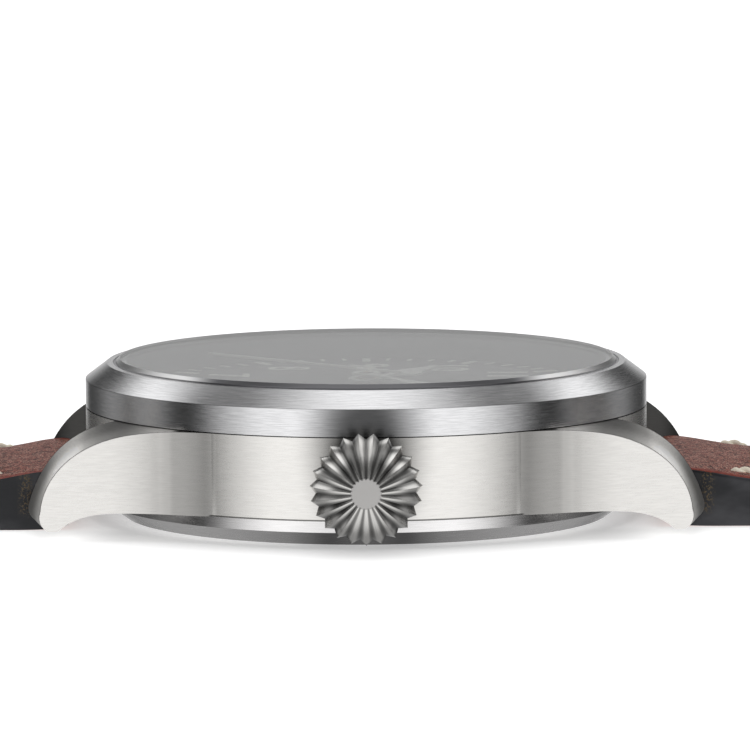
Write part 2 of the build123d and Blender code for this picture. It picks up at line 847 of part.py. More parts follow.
# Main plate with its pockets
train_pocket = max(centre_module * (centre_teeth / 2 + 1), fourth_module * (fourth_teeth / 2 + 1)) + wheel_gap
third_pocket = third_module * (third_teeth / 2 + 1) + wheel_gap
barrel_pocket = barrel_module * (barrel_teeth / 2 + 1) + wheel_gap
balance_pocket = balance_radius + 4 * wheel_gap
jewel_places = {
    "third": third_centre,
    "escape": escape_centre,
    "pallet": pallet_centre,
    "balance": balance_centre,
}
bridge_screw_distance = 12.8
barrel_screw_angles = (-70.0, -9.0, 25.0)
train_screw_angles = (56.0, 104.0, 149.0)
cock_screw_angle = 232.0

with BuildPart() as main_plate:
    ring(plate_radius - seat, 0, plate_low, plate_high)
    ring(train_pocket, 0, plate_low, centre_high + wheel_gap, mode=cut)
    ring(third_pocket, 0, plate_low, third_high + wheel_gap, third_centre, cut)
    ring(jewel_radius + 2 * wheel_gap, 0, plate_low, centre_high + wheel_gap, third_centre, cut)
    ring(barrel_pocket, 0, plate_low, barrel_floor, barrel_centre, cut)
    ring(barrel_module * (barrel_pinion / 2 + 1) + wheel_gap, 0, plate_low, barrel_floor, mode=cut)
    ring(balance_pocket, 0, plate_low, balance_shelf, balance_centre, cut)
    ring(escape_radius + 3 * wheel_gap, 0, plate_low, escape_floor, escape_centre, cut)
    ring(0.85 * escape_radius, 0, plate_low, escape_floor, pallet_centre, cut)
    ring(jewel_radius + 8 * wheel_gap, 0, plate_low, escape_floor, balance_centre, cut)
    slab(lever_line, 2 * jewel_radius + 8 * wheel_gap, plate_low, escape_floor,
         shift(escape_centre, polar(lever_line / 2, lever_angle)), lever_angle, cut)
    slab(0.6 * lever_line, 4 * jewel_radius, plate_low, balance_shelf,
         shift(pallet_centre, polar(0.3 * lever_line, lever_angle - 90)), lever_angle - 90, cut)
    ring(2 * jewel_radius, 0, plate_low, balance_shelf, cock_foot, cut)
    slab(2 * keyless_half_width, keyless_low - keyless_high, plate_low, stem_height + winding_pinion_radius
         + wheel_gap, (0, -(keyless_low + keyless_high) / 2), mode=cut)
    radial_rod(stem_radius + slip, keyless_low - overrun, plate_radius + overrun, cut)
    radial_rod(stem_pivot_radius + slip, keyless_high - 2 * overrun, keyless_high + overrun, cut)
    ring(works_radius, 0, works_low, plate_high, mode=cut)
    ring(centre_arbor_radius + slip, 0, plate_low, plate_high, mode=cut)
    ring(arbor_radius * 0.7 + slip, 0, barrel_floor, barrel_floor + jewel_thick + wheel_gap,
         barrel_centre, cut)
    ring(pivot_radius * 2 + slip, 0, works_low - jewel_thick, works_low, works_centre, cut)
    for place in ("third",):
        ring(jewel_radius + seat, 0, centre_high + wheel_gap, centre_high + wheel_gap + jewel_thick,
             jewel_places[place], cut)
    for place in ("escape", "pallet", "balance"):
        ring(jewel_radius + seat, 0, escape_floor, escape_floor + jewel_thick, jewel_places[place], cut)
    # Setting lever pocket on the dial side, and the slot for its pin
    ring(click_width + 4 * wheel_gap, 0, lever_low - wheel_gap, plate_high, lever_pivot, cut)
    slab(lever_pivot_reach + 2 * click_width, 3 * click_width, lever_low - wheel_gap, plate_high,
         (lever_pivot_reach / 2 - click_width / 2, lever_pivot[1] + wheel_gap), mode=cut)
    slab(4 * lever_pin_radius, crown_travel + groove_width + 2 * slip, stem_height, plate_high,
         (lever_pin_radius / 2, lever_pivot[1]), mode=cut)
    ring(screw_shank_radius, 0, lever_low - 2 * jewel_thick, lever_low, lever_pivot, cut)
    for angle in barrel_screw_angles + train_screw_angles + (cock_screw_angle,):
        ring(screw_shank_radius + seat, 0, plate_low, plate_low + screw_length,
             polar(bridge_screw_distance, angle), cut)
    ring(screw_shank_radius + seat, 0, balance_shelf, balance_shelf + screw_length, cock_foot, cut)
    for angle in dial_feet_angles:
        ring(dial_feet_radius + slip, 0, plate_high - dial_feet_length - slip, plate_high,
             polar(dial_feet_distance, angle), cut)
main_plate.part.label = "main_plate"
export_step(main_plate.part, "parts/main_plate.step")

# Dial with its feet, and the marks printed on it
with BuildPart() as dial:
    ring(dial_radius, dial_bore, plate_high, dial_high)
    for angle in dial_feet_angles:
        ring(dial_feet_radius, 0, plate_high - dial_feet_length, plate_high, polar(dial_feet_distance, angle))
dial.part.label = "dial"
export_step(dial.part, "parts/dial.step")

with BuildPart() as dial_markers:
    with BuildSketch(Plane.XY.offset(dial_high)) as marks:
        for minute in range(1, 60):
            on_hour = minute % 5 == 0
            length = hour_mark_length if on_hour else minute_mark_length
            width = hour_mark_width if on_hour else minute_mark_width
            with Locations(polar(minute_mark_radius - length / 2, -6 * minute)):
                Rectangle(length, width, rotation=-6 * minute)
        with BuildLine():
            Polyline(
                (triangle_top - triangle_height, 0),
                (triangle_top, triangle_width / 2),
                (triangle_top, -triangle_width / 2),
                close=True,
            )
        make_face()
        for side in (-1, 1):
            with Locations((triangle_top - triangle_height / 4, side * (triangle_width / 2 + dot_radius))):
                Circle(dot_radius)
    extrude(amount=ink_thick)
dial_markers.part.label = "dial_markers"
export_step(dial_markers.part, "parts/dial_markers.step")


def sword_hand(length, width, low, angle, hub, bore):
    """A sword hand: a slim stem from the hub that widens to a lozenge and ends in a point."""
    edge = [(along * length, across * width) for along, across in hand_outline_shares]
    outline = edge + [(x, -y) for x, y in reversed(edge)]
    turned = [(x * cos(radians(angle)) - y * sin(radians(angle)),
               x * sin(radians(angle)) + y * cos(radians(angle))) for x, y in outline]
    sheet(turned, low, low + hand_thick)
    ring(hub, 0, low, low + hand_thick)
    ring(bore, 0, low - overrun, low + overrun, mode=cut)


# Hands
with BuildPart() as hour_hand:
    sword_hand(hour_hand_length, hour_hand_width, hour_hand_low, hour_hand_angle, hour_pipe + hand_hub,
               hour_pipe + seat)
hour_hand.part.label = "hour_hand"
export_step(hour_hand.part, "parts/hour_hand.step")

with BuildPart() as minute_hand:
    sword_hand(minute_hand_length, minute_hand_width, minute_hand_low, minute_hand_angle,
               cannon_pipe + hand_hub, cannon_pipe + seat)
minute_hand.part.label = "minute_hand"
export_step(minute_hand.part, "parts/minute_hand.step")

with BuildPart() as seconds_hand:
    slab(seconds_hand_length + seconds_tail_length, seconds_hand_width, seconds_hand_low,
         seconds_hand_low + hand_thick,
         polar((seconds_hand_length - seconds_tail_length) / 2, seconds_hand_angle), seconds_hand_angle)
    ring(seconds_tail_radius, 0, seconds_hand_low, seconds_hand_low + hand_thick,
         polar(-seconds_tail_length, seconds_hand_angle))
    ring(seconds_tail_radius, 0, seconds_hand_low, seconds_hand_low + hand_thick)
    ring(fourth_arbor_radius + seat, 0, seconds_hand_low - overrun, seconds_hand_low + overrun, mode=cut)
seconds_hand.part.label = "seconds_hand"
export_step(seconds_hand.part, "parts/seconds_hand.step")

# Ring that holds the movement in the case, and the clamps that keep it there
shelf_radius = plate_radius + holder_shelf_width
clamp_screw_circle = plate_radius + holder_shelf_width / 2
clamp_circle = shelf_radius - 3 * slip - clamp_reach
clamp_head = 1.25 * screw_shank_radius
with BuildPart() as movement_holder:
    ring(holder_radius, plate_radius + seat, back_height + seat, plate_high)
    ring(shelf_radius, 0, back_height, plate_low, mode=cut)
    radial_rod(tube_radius + slip, 0, plate_radius + 4 * overrun, cut)
    for angle in clamp_angles:
        ring(screw_shank_radius + seat, 0, plate_low, plate_low + screw_length,
             polar(clamp_screw_circle, angle), cut)
movement_holder.part.label = "movement_holder"
export_step(movement_holder.part, "parts/movement_holder.step")

with BuildPart() as case_clamps:
    for angle in clamp_angles:
        slab(2 * clamp_reach, clamp_width, plate_low - clamp_thick, plate_low,
             polar(clamp_circle, angle), angle)
        ring(screw_shank_radius + seat, 0, plate_low - overrun, plate_low,
             polar(clamp_screw_circle, angle), cut)
    for angle in clamp_angles:
        screw(polar(clamp_screw_circle, angle), plate_low - clamp_thick - screw_head_thick, head=clamp_head,
              length=screw_length, angle=angle)
case_clamps.part.label = "case_clamps"
export_step(case_clamps.part, "parts/case_clamps.step")


def bridge_blank(offset_low, offset_high):
    """The part of a round bridge plate between two lines across the movement."""
    middle = (offset_low + offset_high) / 2
    with BuildSketch(Plane.XY.offset(bridge_low)) as face:
        Circle(bridge_radius)
        with Locations(polar(middle, bridge_split_angle)):
            Rectangle(offset_high - offset_low, 2 * plate_radius, rotation=bridge_split_angle,
                      mode=Mode.INTERSECT)
    extrude(face.sketch, amount=bridge_thick)


def bridge_screw_holes(angles):
    for angle in angles:
        ring(screw_shank_radius + seat, 0, bridge_low - overrun, plate_low + overrun,
             polar(bridge_screw_distance, angle), cut)


# Bridges
boss_radius = 2.3 * arbor_radius
with BuildPart() as barrel_bridge:
    bridge_blank(bridge_split_distance, plate_radius)
    slab(plate_radius, 2 * plate_radius, bridge_low - overrun, plate_low,
         (-cock_side_distance + bridge_gap - plate_radius / 2, 0), mode=cut)
    ring(boss_radius, 0, plate_low, barrel_low - wheel_gap, barrel_centre)
    ring(arbor_radius + slip, 0, bridge_low - overrun, barrel_low, barrel_centre, cut)
    ring(face_tooth_ring + face_tooth_length, face_tooth_ring - face_tooth_length, bridge_low - overrun,
         bridge_low + face_tooth_high, crown_wheel_centre, cut)
    slab(2 * face_tooth_ring, 2 * winding_pinion_width, bridge_low - overrun, plate_low + overrun,
         (0, -pinion_far + winding_pinion_width / 2), mode=cut)
    ring(screw_shank_radius + seat, 0, bridge_low - overrun, plate_low + overrun, crown_wheel_centre, cut)
    ring(screw_shank_radius + slip, 0, bridge_low - overrun, plate_low + overrun, click_pivot, cut)
    bridge_screw_holes(barrel_screw_angles)
barrel_bridge.part.label = "barrel_bridge"
export_step(barrel_bridge.part, "parts/barrel_bridge.step")

balance_clearance = balance_radius + 5 * wheel_gap
with BuildPart() as train_bridge:
    bridge_blank(-plate_radius, bridge_split_distance - bridge_gap)
    slab(2 * plate_radius, plate_radius, bridge_low - overrun, plate_low + overrun,
         (0, -train_bridge_distance - plate_radius / 2), mode=cut)
    ring(balance_clearance, 0, bridge_low - overrun, plate_low + overrun, balance_centre, cut)
    for place in (centre, third_centre, escape_centre):
        ring(jewel_radius + seat, 0, bridge_low - overrun, plate_low + overrun, place, cut)
    bridge_screw_holes(train_screw_angles)
train_bridge.part.label = "train_bridge"
export_step(train_bridge.part, "parts/train_bridge.step")

with BuildPart() as balance_cock:
    ring(bridge_radius, 0, bridge_low, plate_low)
    slab(2 * plate_radius, 2 * plate_radius, bridge_low - overrun, plate_low + overrun,
         (plate_radius - cock_side_distance, 0), mode=cut)
    slab(2 * plate_radius, 2 * plate_radius, bridge_low - overrun, plate_low + overrun,
         (0, plate_radius - cock_top_distance), mode=cut)
    slab(cock_width, cock_top_distance + balance_centre[1] + overrun, bridge_low, plate_low,
         (balance_centre[0], (balance_centre[1] - cock_top_distance - overrun) / 2))
    ring(cock_width / 2, 0, bridge_low, plate_low, balance_centre)
    ring(jewel_radius + seat, 0, bridge_low - overrun, plate_low + overrun, balance_centre, cut)
    bridge_screw_holes((cock_screw_angle,))
balance_cock.part.label = "balance_cock"
export_step(balance_cock.part, "parts/balance_cock.step")

with BuildPart() as pallet_bridge:
    ring(1.3 * jewel_radius, 0, pallet_bridge_low, balance_shelf, pallet_centre)
    ring(1.6 * jewel_radius, 0, pallet_bridge_low, balance_shelf, cock_foot)
    slab(0.6 * lever_line, 2 * jewel_radius, pallet_bridge_low, balance_shelf,
         shift(pallet_centre, polar(0.3 * lever_line, lever_angle - 90)), lever_angle - 90)
    ring(pallet_hole_radius, 0, pallet_bridge_low - overrun, balance_shelf + overrun, pallet_centre, cut)
    ring(screw_shank_radius + seat, 0, pallet_bridge_low - overrun, balance_shelf + overrun, cock_foot, cut)
pallet_bridge.part.label = "pallet_bridge"
export_step(pallet_bridge.part, "parts/pallet_bridge.step")

screw_low = bridge_low - screw_head_thick
with BuildPart() as movement_screws:
    for number, angle in enumerate(barrel_screw_angles + train_screw_angles + (cock_screw_angle,)):
        screw(polar(bridge_screw_distance, angle), screw_low, length=bridge_thick + screw_length - slip,
              angle=angle + number * key_notches ** 2)
    screw(cock_foot, pallet_bridge_low - screw_head_thick, head=1.3 * screw_shank_radius,
          length=balance_shelf - pallet_bridge_low + screw_length - slip, angle=lever_angle)
    screw(lever_pivot, lever_low - 2 * jewel_thick, head=screw_shank_radius - seat,
          shank=screw_shank_radius - 2 * seat, length=2 * jewel_thick + lever_thick - screw_head_thick)
    screw(click_pivot, ratchet_low - slip - screw_head_thick, head=1.6 * click_screw_radius,
          shank=click_screw_radius, length=ratchet_high - ratchet_low + bridge_thick)
    ring(core_radius, 0, ratchet_low - slip, bridge_low, crown_wheel_centre)
    screw(crown_wheel_centre, ratchet_low - slip - screw_head_thick, head=1.6 * core_radius,
          length=ratchet_high - ratchet_low + bridge_thick)
movement_screws.part.label = "movement_screws"
export_step(movement_screws.part, "parts/movement_screws.step")

# Jewel bearings, pressed into the plate and the bridges
pivot_hole = pivot_radius + slip
with BuildPart() as jewels:
    for place in (third_centre, escape_centre):
        ring(jewel_radius, pivot_hole, bridge_low, bridge_low + jewel_thick, place)
    ring(jewel_radius, pivot_hole, bridge_low, bridge_low + jewel_thick, centre)
    ring(jewel_radius, pivot_hole, bridge_low, bridge_low + jewel_thick, balance_centre)
    ring(jewel_radius, pivot_hole, centre_high + wheel_gap, centre_high + wheel_gap + jewel_thick,
         third_centre)
    for place in (escape_centre, pallet_centre, balance_centre):
        ring(jewel_radius, pivot_hole, escape_floor, escape_floor + jewel_thick, place)
jewels.part.label = "jewels"
export_step(jewels.part, "parts/jewels.step")


def wheel_windows(inner, outer, spokes, low, high, at, phase=0.0):
    """Cut the openings between a wheel's spokes."""
    with BuildSketch(Plane.XY.offset(low)) as face:
        with Locations(at):
            Circle(outer)
            Circle(inner, mode=cut)
        for spoke in range(spokes):
            angle = phase + spoke * 360 / spokes
            with Locations(shift(at, polar(outer / 2, angle))):
                Rectangle(outer, spoke_width, rotation=angle, mode=cut)
    extrude(face.sketch, amount=high - low, mode=cut)


# Going train, from the barrel to the escape wheel
barrel_drum_radius = barrel_module * (barrel_teeth / 2 - tooth_root_share) - spoke_width / 2
with BuildPart() as mainspring_barrel:
    gear(barrel_teeth, barrel_module, barrel_phase, barrel_high - barrel_tooth_thick, barrel_high,
         barrel_centre)
    ring(barrel_drum_radius, 0, barrel_low, barrel_high, barrel_centre)
    ring(barrel_drum_radius - barrel_wall, 0, barrel_low + barrel_wall, barrel_high - barrel_tooth_thick,
         barrel_centre, cut)
    ring(arbor_radius + slip, 0, barrel_low - overrun, barrel_high + overrun, barrel_centre, cut)
mainspring_barrel.part.label = "mainspring_barrel"
export_step(mainspring_barrel.part, "parts/mainspring_barrel.step")

with BuildPart() as mainspring:
    extrude(spiral_face(arbor_core + spring_thick, barrel_drum_radius - barrel_wall - spring_thick,
                        spring_turns, spring_thick, barrel_low + barrel_wall + slip, barrel_centre),
            amount=barrel_height - barrel_wall - barrel_tooth_thick - 2 * slip)
mainspring.part.label = "mainspring"
export_step(mainspring.part, "parts/mainspring.step")

with BuildPart() as barrel_arbor:
    ring(arbor_radius, 0, bridge_low - slip, barrel_high, barrel_centre)
    ring(arbor_core, 0, barrel_low + barrel_wall + slip, barrel_high - barrel_tooth_thick - slip,
         barrel_centre)
    ring(0.7 * arbor_radius, 0, barrel_high, barrel_floor + jewel_thick, barrel_centre)
    slab(ratchet_square, ratchet_square, ratchet_low, bridge_low - slip, barrel_centre, ratchet_phase)
    screw(barrel_centre, ratchet_low - screw_head_thick, head=1.7 * arbor_radius,
          shank=0.9 * ratchet_square / 2, length=slip, angle=ratchet_phase)
barrel_arbor.part.label = "barrel_arbor"
export_step(barrel_arbor.part, "parts/barrel_arbor.step")

with BuildPart() as centre_wheel:
    gear(centre_teeth, centre_module, centre_phase, centre_low, centre_high)
    wheel_windows(2.4 * centre_arbor_radius, 0.82 * centre_module * centre_teeth / 2, train_spokes,
                  centre_low, centre_high, centre)
    ring(centre_arbor_radius, 0, centre_low, minute_hand_low - wheel_gap)
    gear(barrel_pinion, barrel_module, centre_phase, barrel_high - 1.6 * barrel_tooth_thick,
         barrel_floor - wheel_gap / 2)
    ring(fourth_arbor_radius + slip, 0, centre_low - overrun, dial_high + 4 * overrun, mode=cut)
centre_wheel.part.label = "centre_wheel"
export_step(centre_wheel.part, "parts/centre_wheel.step")

with BuildPart() as third_wheel:
    gear(third_teeth, third_module, third_phase, third_low, third_high, third_centre)
    wheel_windows(2 * third_arbor_radius, 0.82 * third_module * third_teeth / 2, train_spokes,
                  third_low, third_high, third_centre)
    gear(third_pinion, centre_module, third_phase, third_high, centre_high + wheel_gap / 2, third_centre)
    ring(third_arbor_radius, 0, plate_low, third_high, third_centre)
    ring(pivot_radius, 0, bridge_low + wheel_gap, centre_high + wheel_gap + jewel_thick, third_centre)
third_wheel.part.label = "third_wheel"
export_step(third_wheel.part, "parts/third_wheel.step")

with BuildPart() as fourth_wheel:
    gear(fourth_teeth, fourth_module, fourth_phase, fourth_low, fourth_high)
    wheel_windows(3 * fourth_arbor_radius, 0.82 * fourth_module * fourth_teeth / 2, train_spokes,
                  fourth_low, fourth_high, centre)
    gear(fourth_pinion, third_module, fourth_phase, fourth_high, third_high + wheel_gap)
    ring(fourth_arbor_radius, 0, plate_low - bridge_thick + jewel_thick + wheel_gap,
         seconds_hand_low + hand_thick)
    ring(pivot_radius, 0, bridge_low + wheel_gap, plate_low)
fourth_wheel.part.label = "fourth_wheel"
export_step(fourth_wheel.part, "parts/fourth_wheel.step")

with BuildPart() as escape_wheel:
    gear(escape_pinion, fourth_module, escape_pinion_phase, fourth_low, fourth_high + wheel_gap / 2,
         escape_centre)
    ring(third_arbor_radius, 0, fourth_high, escape_floor - wheel_gap, escape_centre)
    ring(pivot_radius, 0, bridge_low + wheel_gap, escape_floor + jewel_thick, escape_centre)
    tooth_points = []
    for tooth in range(escape_teeth):
        angle = escape_phase + tooth * 360 / escape_teeth
        for reach, lead in escape_tooth_shares:
            tooth_points.append(shift(escape_centre, polar(reach * escape_radius,
                                                           angle + lead * 360 / escape_teeth)))
    sheet(tooth_points, escape_low, escape_high)
    wheel_windows(2.4 * third_arbor_radius, 0.66 * escape_radius, train_spokes, escape_low, escape_high,
                  escape_centre)
escape_wheel.part.label = "escape_wheel"
export_step(escape_wheel.part, "parts/escape_wheel.step")

# Escapement: pallet fork with its two stones, balance, staff and hairspring
impulse_reach = 0.17 * balance_radius
fork_reach = lever_line - pallet_distance - impulse_reach
with BuildPart() as pallet_fork:
    slab(fork_reach - fork_slot_length / 2, fork_width, escape_low, escape_high,
         shift(pallet_centre, polar((fork_reach - fork_slot_length / 2) / 2, lever_angle)), lever_angle)
    for side in (-1, 1):
        slab(2 * fork_slot_length, fork_width / 2, escape_low, escape_high,
             shift(shift(pallet_centre, polar(fork_reach, lever_angle)),
                   polar(side * (impulse_pin_radius + slip + fork_width / 4), lever_angle + 90)), lever_angle)
        stone = shift(escape_centre, polar(stone_reach, lever_angle + side * pallet_half_angle))
        run = (stone[0] - pallet_centre[0], stone[1] - pallet_centre[1])
        slab(hypot(*run), fork_width, escape_low, escape_high, shift(pallet_centre, run, 0.5),
             degrees(atan2(run[1], run[0])))
    ring(1.6 * fork_width / 2 + pivot_radius, 0, escape_low, escape_high, pallet_centre)
    for side in (-1, 1):
        angle = lever_angle + side * pallet_half_angle
        slab(stone_length + 2 * seat, stone_width + 2 * seat, escape_low - overrun, escape_high + overrun,
             shift(escape_centre, polar(stone_reach, angle)), angle, cut)
    ring(pivot_radius, 0, pallet_bridge_low, escape_floor + jewel_thick, pallet_centre)
    for side in (-1, 1):
        angle = lever_angle + side * pallet_half_angle
        slab(stone_length, stone_width, escape_low - seat, escape_high + seat,
             shift(escape_centre, polar(stone_reach, angle)), angle)
pallet_fork.part.label = "pallet_fork"
export_step(pallet_fork.part, "parts/pallet_fork.step")

with BuildPart() as balance_wheel:
    ring(balance_radius, 0, balance_low, balance_high, balance_centre)
    wheel_windows(balance_hub, balance_radius - balance_rim, balance_arms, balance_low, balance_high,
                  balance_centre, lever_angle)
    ring(staff_radius + seat, 0, balance_low - overrun, balance_high + overrun, balance_centre, cut)
balance_wheel.part.label = "balance_wheel"
export_step(balance_wheel.part, "parts/balance_wheel.step")

roller_high = escape_low - slip
with BuildPart() as balance_staff:
    ring(staff_radius, 0, hairspring_low - wheel_gap / 2, escape_floor - wheel_gap, balance_centre)
    ring(pivot_radius, 0, bridge_low + wheel_gap, escape_floor + jewel_thick, balance_centre)
    ring(impulse_reach + 2 * impulse_pin_radius, 0, roller_high - wheel_gap, roller_high, balance_centre)
    ring(impulse_pin_radius, 0, roller_high, escape_high + slip,
         shift(balance_centre, polar(-impulse_reach, lever_angle)))
balance_staff.part.label = "balance_staff"
export_step(balance_staff.part, "parts/balance_staff.step")

with BuildPart() as hairspring:
    extrude(spiral_face(hairspring_inner, hairspring_outer, hairspring_turns, hairspring_thick,
                        hairspring_low, balance_centre, angle=-90), amount=hairspring_height)
hairspring.part.label = "hairspring"
export_step(hairspring.part, "parts/hairspring.step")

with BuildPart() as hairspring_stud:
    ring(stud_radius, 0, plate_low, hairspring_low + hairspring_height,
         shift(balance_centre, (0, -hairspring_outer - hairspring_thick / 2 - stud_radius - seat)))
hairspring_stud.part.label = "hairspring_stud"
export_step(hairspring_stud.part, "parts/hairspring_stud.step")

# Motion work: cannon pinion, minute wheel and hour wheel
with BuildPart() as cannon_pinion:
    gear(cannon_teeth, cannon_module, centre_phase, minute_wheel_low, minute_wheel_high)
    ring(cannon_pipe, 0, works_low + wheel_gap / 2, minute_hand_low + hand_thick)
    ring(cannon_bore, 0, works_low - overrun, dial_high + 4 * overrun, mode=cut)
cannon_pinion.part.label = "cannon_pinion"
export_step(cannon_pinion.part, "parts/cannon_pinion.step")

with BuildPart() as minute_wheel:
    gear(minute_teeth, cannon_module, minute_phase, minute_wheel_low, minute_wheel_high, works_centre)
    gear(minute_pinion, hour_module, minute_phase, minute_wheel_high, hour_wheel_high, works_centre)
    ring(2 * pivot_radius, 0, works_low - jewel_thick + slip, minute_wheel_low, works_centre)
minute_wheel.part.label = "minute_wheel"
export_step(minute_wheel.part, "parts/minute_wheel.step")

with BuildPart() as hour_wheel:
    gear(hour_teeth, hour_module, hour_phase, hour_wheel_low, hour_wheel_high)
    ring(hour_pipe, 0, hour_wheel_low, hour_hand_low + hand_thick)
    ring(hour_bore, 0, hour_wheel_low - overrun, dial_high + 4 * overrun, mode=cut)
hour_wheel.part.label = "hour_wheel"
export_step(hour_wheel.part, "parts/hour_wheel.step")

# Winding train on the bridge: crown wheel, ratchet wheel and click
with BuildPart() as crown_wheel:
    gear(crown_wheel_teeth, winding_module, crown_wheel_phase, ratchet_low, ratchet_high, crown_wheel_centre)
    with BuildSketch(Plane.XY.offset(ratchet_high)) as face_teeth:
        for tooth in range(crown_wheel_teeth):
            angle = crown_wheel_phase + tooth * 360 / crown_wheel_teeth
            with Locations(shift(crown_wheel_centre, polar(face_tooth_ring, angle))):
                Rectangle(face_tooth_length, face_tooth_width, rotation=angle)
    extrude(face_teeth.sketch, amount=face_tooth_high)
    ring(core_radius + slip, 0, ratchet_low - overrun, ratchet_high + overrun, crown_wheel_centre, cut)
crown_wheel.part.label = "crown_wheel"
export_step(crown_wheel.part, "parts/crown_wheel.step")

with BuildPart() as ratchet_wheel:
    gear(ratchet_teeth, winding_module, ratchet_phase, ratchet_low, ratchet_high, barrel_centre)
    slab(ratchet_square + 2 * seat, ratchet_square + 2 * seat, ratchet_low - overrun, ratchet_high + overrun,
         barrel_centre, ratchet_phase, cut)
ratchet_wheel.part.label = "ratchet_wheel"
export_step(ratchet_wheel.part, "parts/ratchet_wheel.step")

ratchet_pitch = 360 / ratchet_teeth
click_gap_angle = ratchet_phase + ratchet_pitch * (round((click_angle - ratchet_phase) / ratchet_pitch) + 0.5)
click_tip = shift(barrel_centre, polar(ratchet_radius, click_gap_angle))
with BuildPart() as click:
    ring(click_width, 0, ratchet_low, ratchet_high, click_pivot)
    sheet((
        shift(click_pivot, polar(click_width, click_gap_angle)),
        shift(click_tip, polar(3 * click_screw_radius, click_gap_angle)),
        click_tip,
        shift(click_pivot, polar(-click_width, click_gap_angle)),
    ), ratchet_low, ratchet_high)
    ring(click_screw_radius + slip, 0, ratchet_low - overrun, ratchet_high + overrun, click_pivot, cut)
click.part.label = "click"
export_step(click.part, "parts/click.step")

# Spring bars between the lugs: a tube with a sprung tip at each end
with BuildPart() as spring_bars:
    for side in (-1, 1):
        cross_rod(bar_radius, side * bar_centre, bar_height, lug_inner - 2 * slip)
    for side in (-1, 1):
        for end in (-1, 1):
            near = end * (lug_inner - 2 * slip)
            far = end * (lug_inner + lug_hole_depth - 2 * slip)
            cross_rod(bar_tip_radius, side * bar_centre, bar_height, max(near, far), start=min(near, far))
spring_bars.part.label = "spring_bars"
export_step(spring_bars.part, "parts/spring_bars.step")

# Strap: distances along each half are measured out from its spring bar
end_reach = bar_centre - case_radius - strap_end_gap
padded_top = (
    (strap_round - end_reach, strap_high),
    (padding_length / 4, strap_high),
    (padding_length, strap_shoulder),
    (padding_middle, (strap_shoulder + strap_thin) / 2),
    (padding_run, strap_thin),
)
buckle_top = padded_top + (
    (lift_start, strap_thin),
    (lift_end, strap_thin + strap_lift),
    (buckle_half_length, strap_thin + strap_lift),
)
hole_top = padded_top + ((hole_half_length, strap_thin),)


def height_on(top, along):
    """Height of the strap's upper face, and its slope in degrees, at a distance from the spring bar."""
    for (near, low), (far, high) in zip(top, top[1:]):
        if along <= far:
            slope = (high - low) / (far - near)
            return low + slope * (along - near), degrees(atan2(high - low, far - near))
    return top[-1][1], 0


def strap_half(side, top, bottom, length, point):
    """One half of the strap, with its round end about the spring bar's hole."""
    with BuildSketch(Plane.XZ.offset(-strap_width / 2)) as face:
        with BuildLine():
            ThreePointArc(
                (-end_reach, bar_height),
                (-end_reach * sqrt(0.5), bar_height - end_reach * sqrt(0.5)),
                (0, bar_height - end_reach),
            )
            Polyline((0, bar_height - end_reach), *bottom)
            Line(bottom[-1], top[-1])
            Polyline(*reversed(top))
            ThreePointArc(
                top[0],
                (top[0][0] - strap_round * sqrt(0.5), top[0][1] - strap_round * (1 - sqrt(0.5))),
                (-end_reach, strap_high - strap_round),
            )
            Line((-end_reach, strap_high - strap_round), (-end_reach, bar_height))
        make_face()
    profile = face.sketch if side > 0 else mirror(face.sketch, about=Plane.YZ, mode=Mode.PRIVATE)
    extrude(profile.moved(Location((side * bar_centre, 0, 0))), amount=strap_width)
    with BuildSketch(Plane.XY) as plan:
        with BuildLine():
            Polyline(
                (side * (bar_centre - end_reach - overrun), -strap_width / 2),
                (side * bar_centre, -strap_width / 2),
                (side * (bar_centre + strap_taper_length), -strap_end_width / 2),
                (side * (bar_centre + length - point), -strap_end_width / 2),
            )
            if point:
                Spline(
                    (side * (bar_centre + length - point), -strap_end_width / 2),
                    (side * (bar_centre + length - point / 4), -strap_point_width / 2),
                    (side * (bar_centre + length), 0),
                    (side * (bar_centre + length - point / 4), strap_point_width / 2),
                    (side * (bar_centre + length - point), strap_end_width / 2),
                    tangents=((side, 0), (-side, 0)),
                )
            else:
                Line((side * (bar_centre + length), -strap_end_width / 2),
                     (side * (bar_centre + length), strap_end_width / 2))
            Polyline(
                (side * (bar_centre + length - point), strap_end_width / 2),
                (side * (bar_centre + strap_taper_length), strap_end_width / 2),
                (side * bar_centre, strap_width / 2),
                (side * (bar_centre - end_reach - overrun), strap_width / 2),
                (side * (bar_centre - end_reach - overrun), -strap_width / 2),
            )
        make_face()
    extrude(plan.sketch, amount=2 * strap_high, mode=Mode.INTERSECT)
    cross_rod(bar_radius + slip, side * bar_centre, bar_height, strap_width, mode=cut)


def stitches(side, top, length):
    """Two rows of short thick stitches that stand a little proud of the strap's upper face."""
    places = []
    for number in range(int((length - 2 * stitch_start) / stitch_pitch) + 1):
        along = stitch_start + stitch_length / 2 + number * stitch_pitch
        height, slope = height_on(top, along)
        narrowing = (strap_width - strap_end_width) / 2 * min(along / strap_taper_length, 1)
        across = strap_width / 2 - narrowing - stitch_inset
        for row in (-1, 1):
            places.append(Location((side * (bar_centre + along), row * across,
                                    height + stitch_proud - stitch_radius), (0, -side * slope, 0)))
    with Locations(places):
        Cylinder(stitch_radius, stitch_length, rotation=(0, 90, 0))


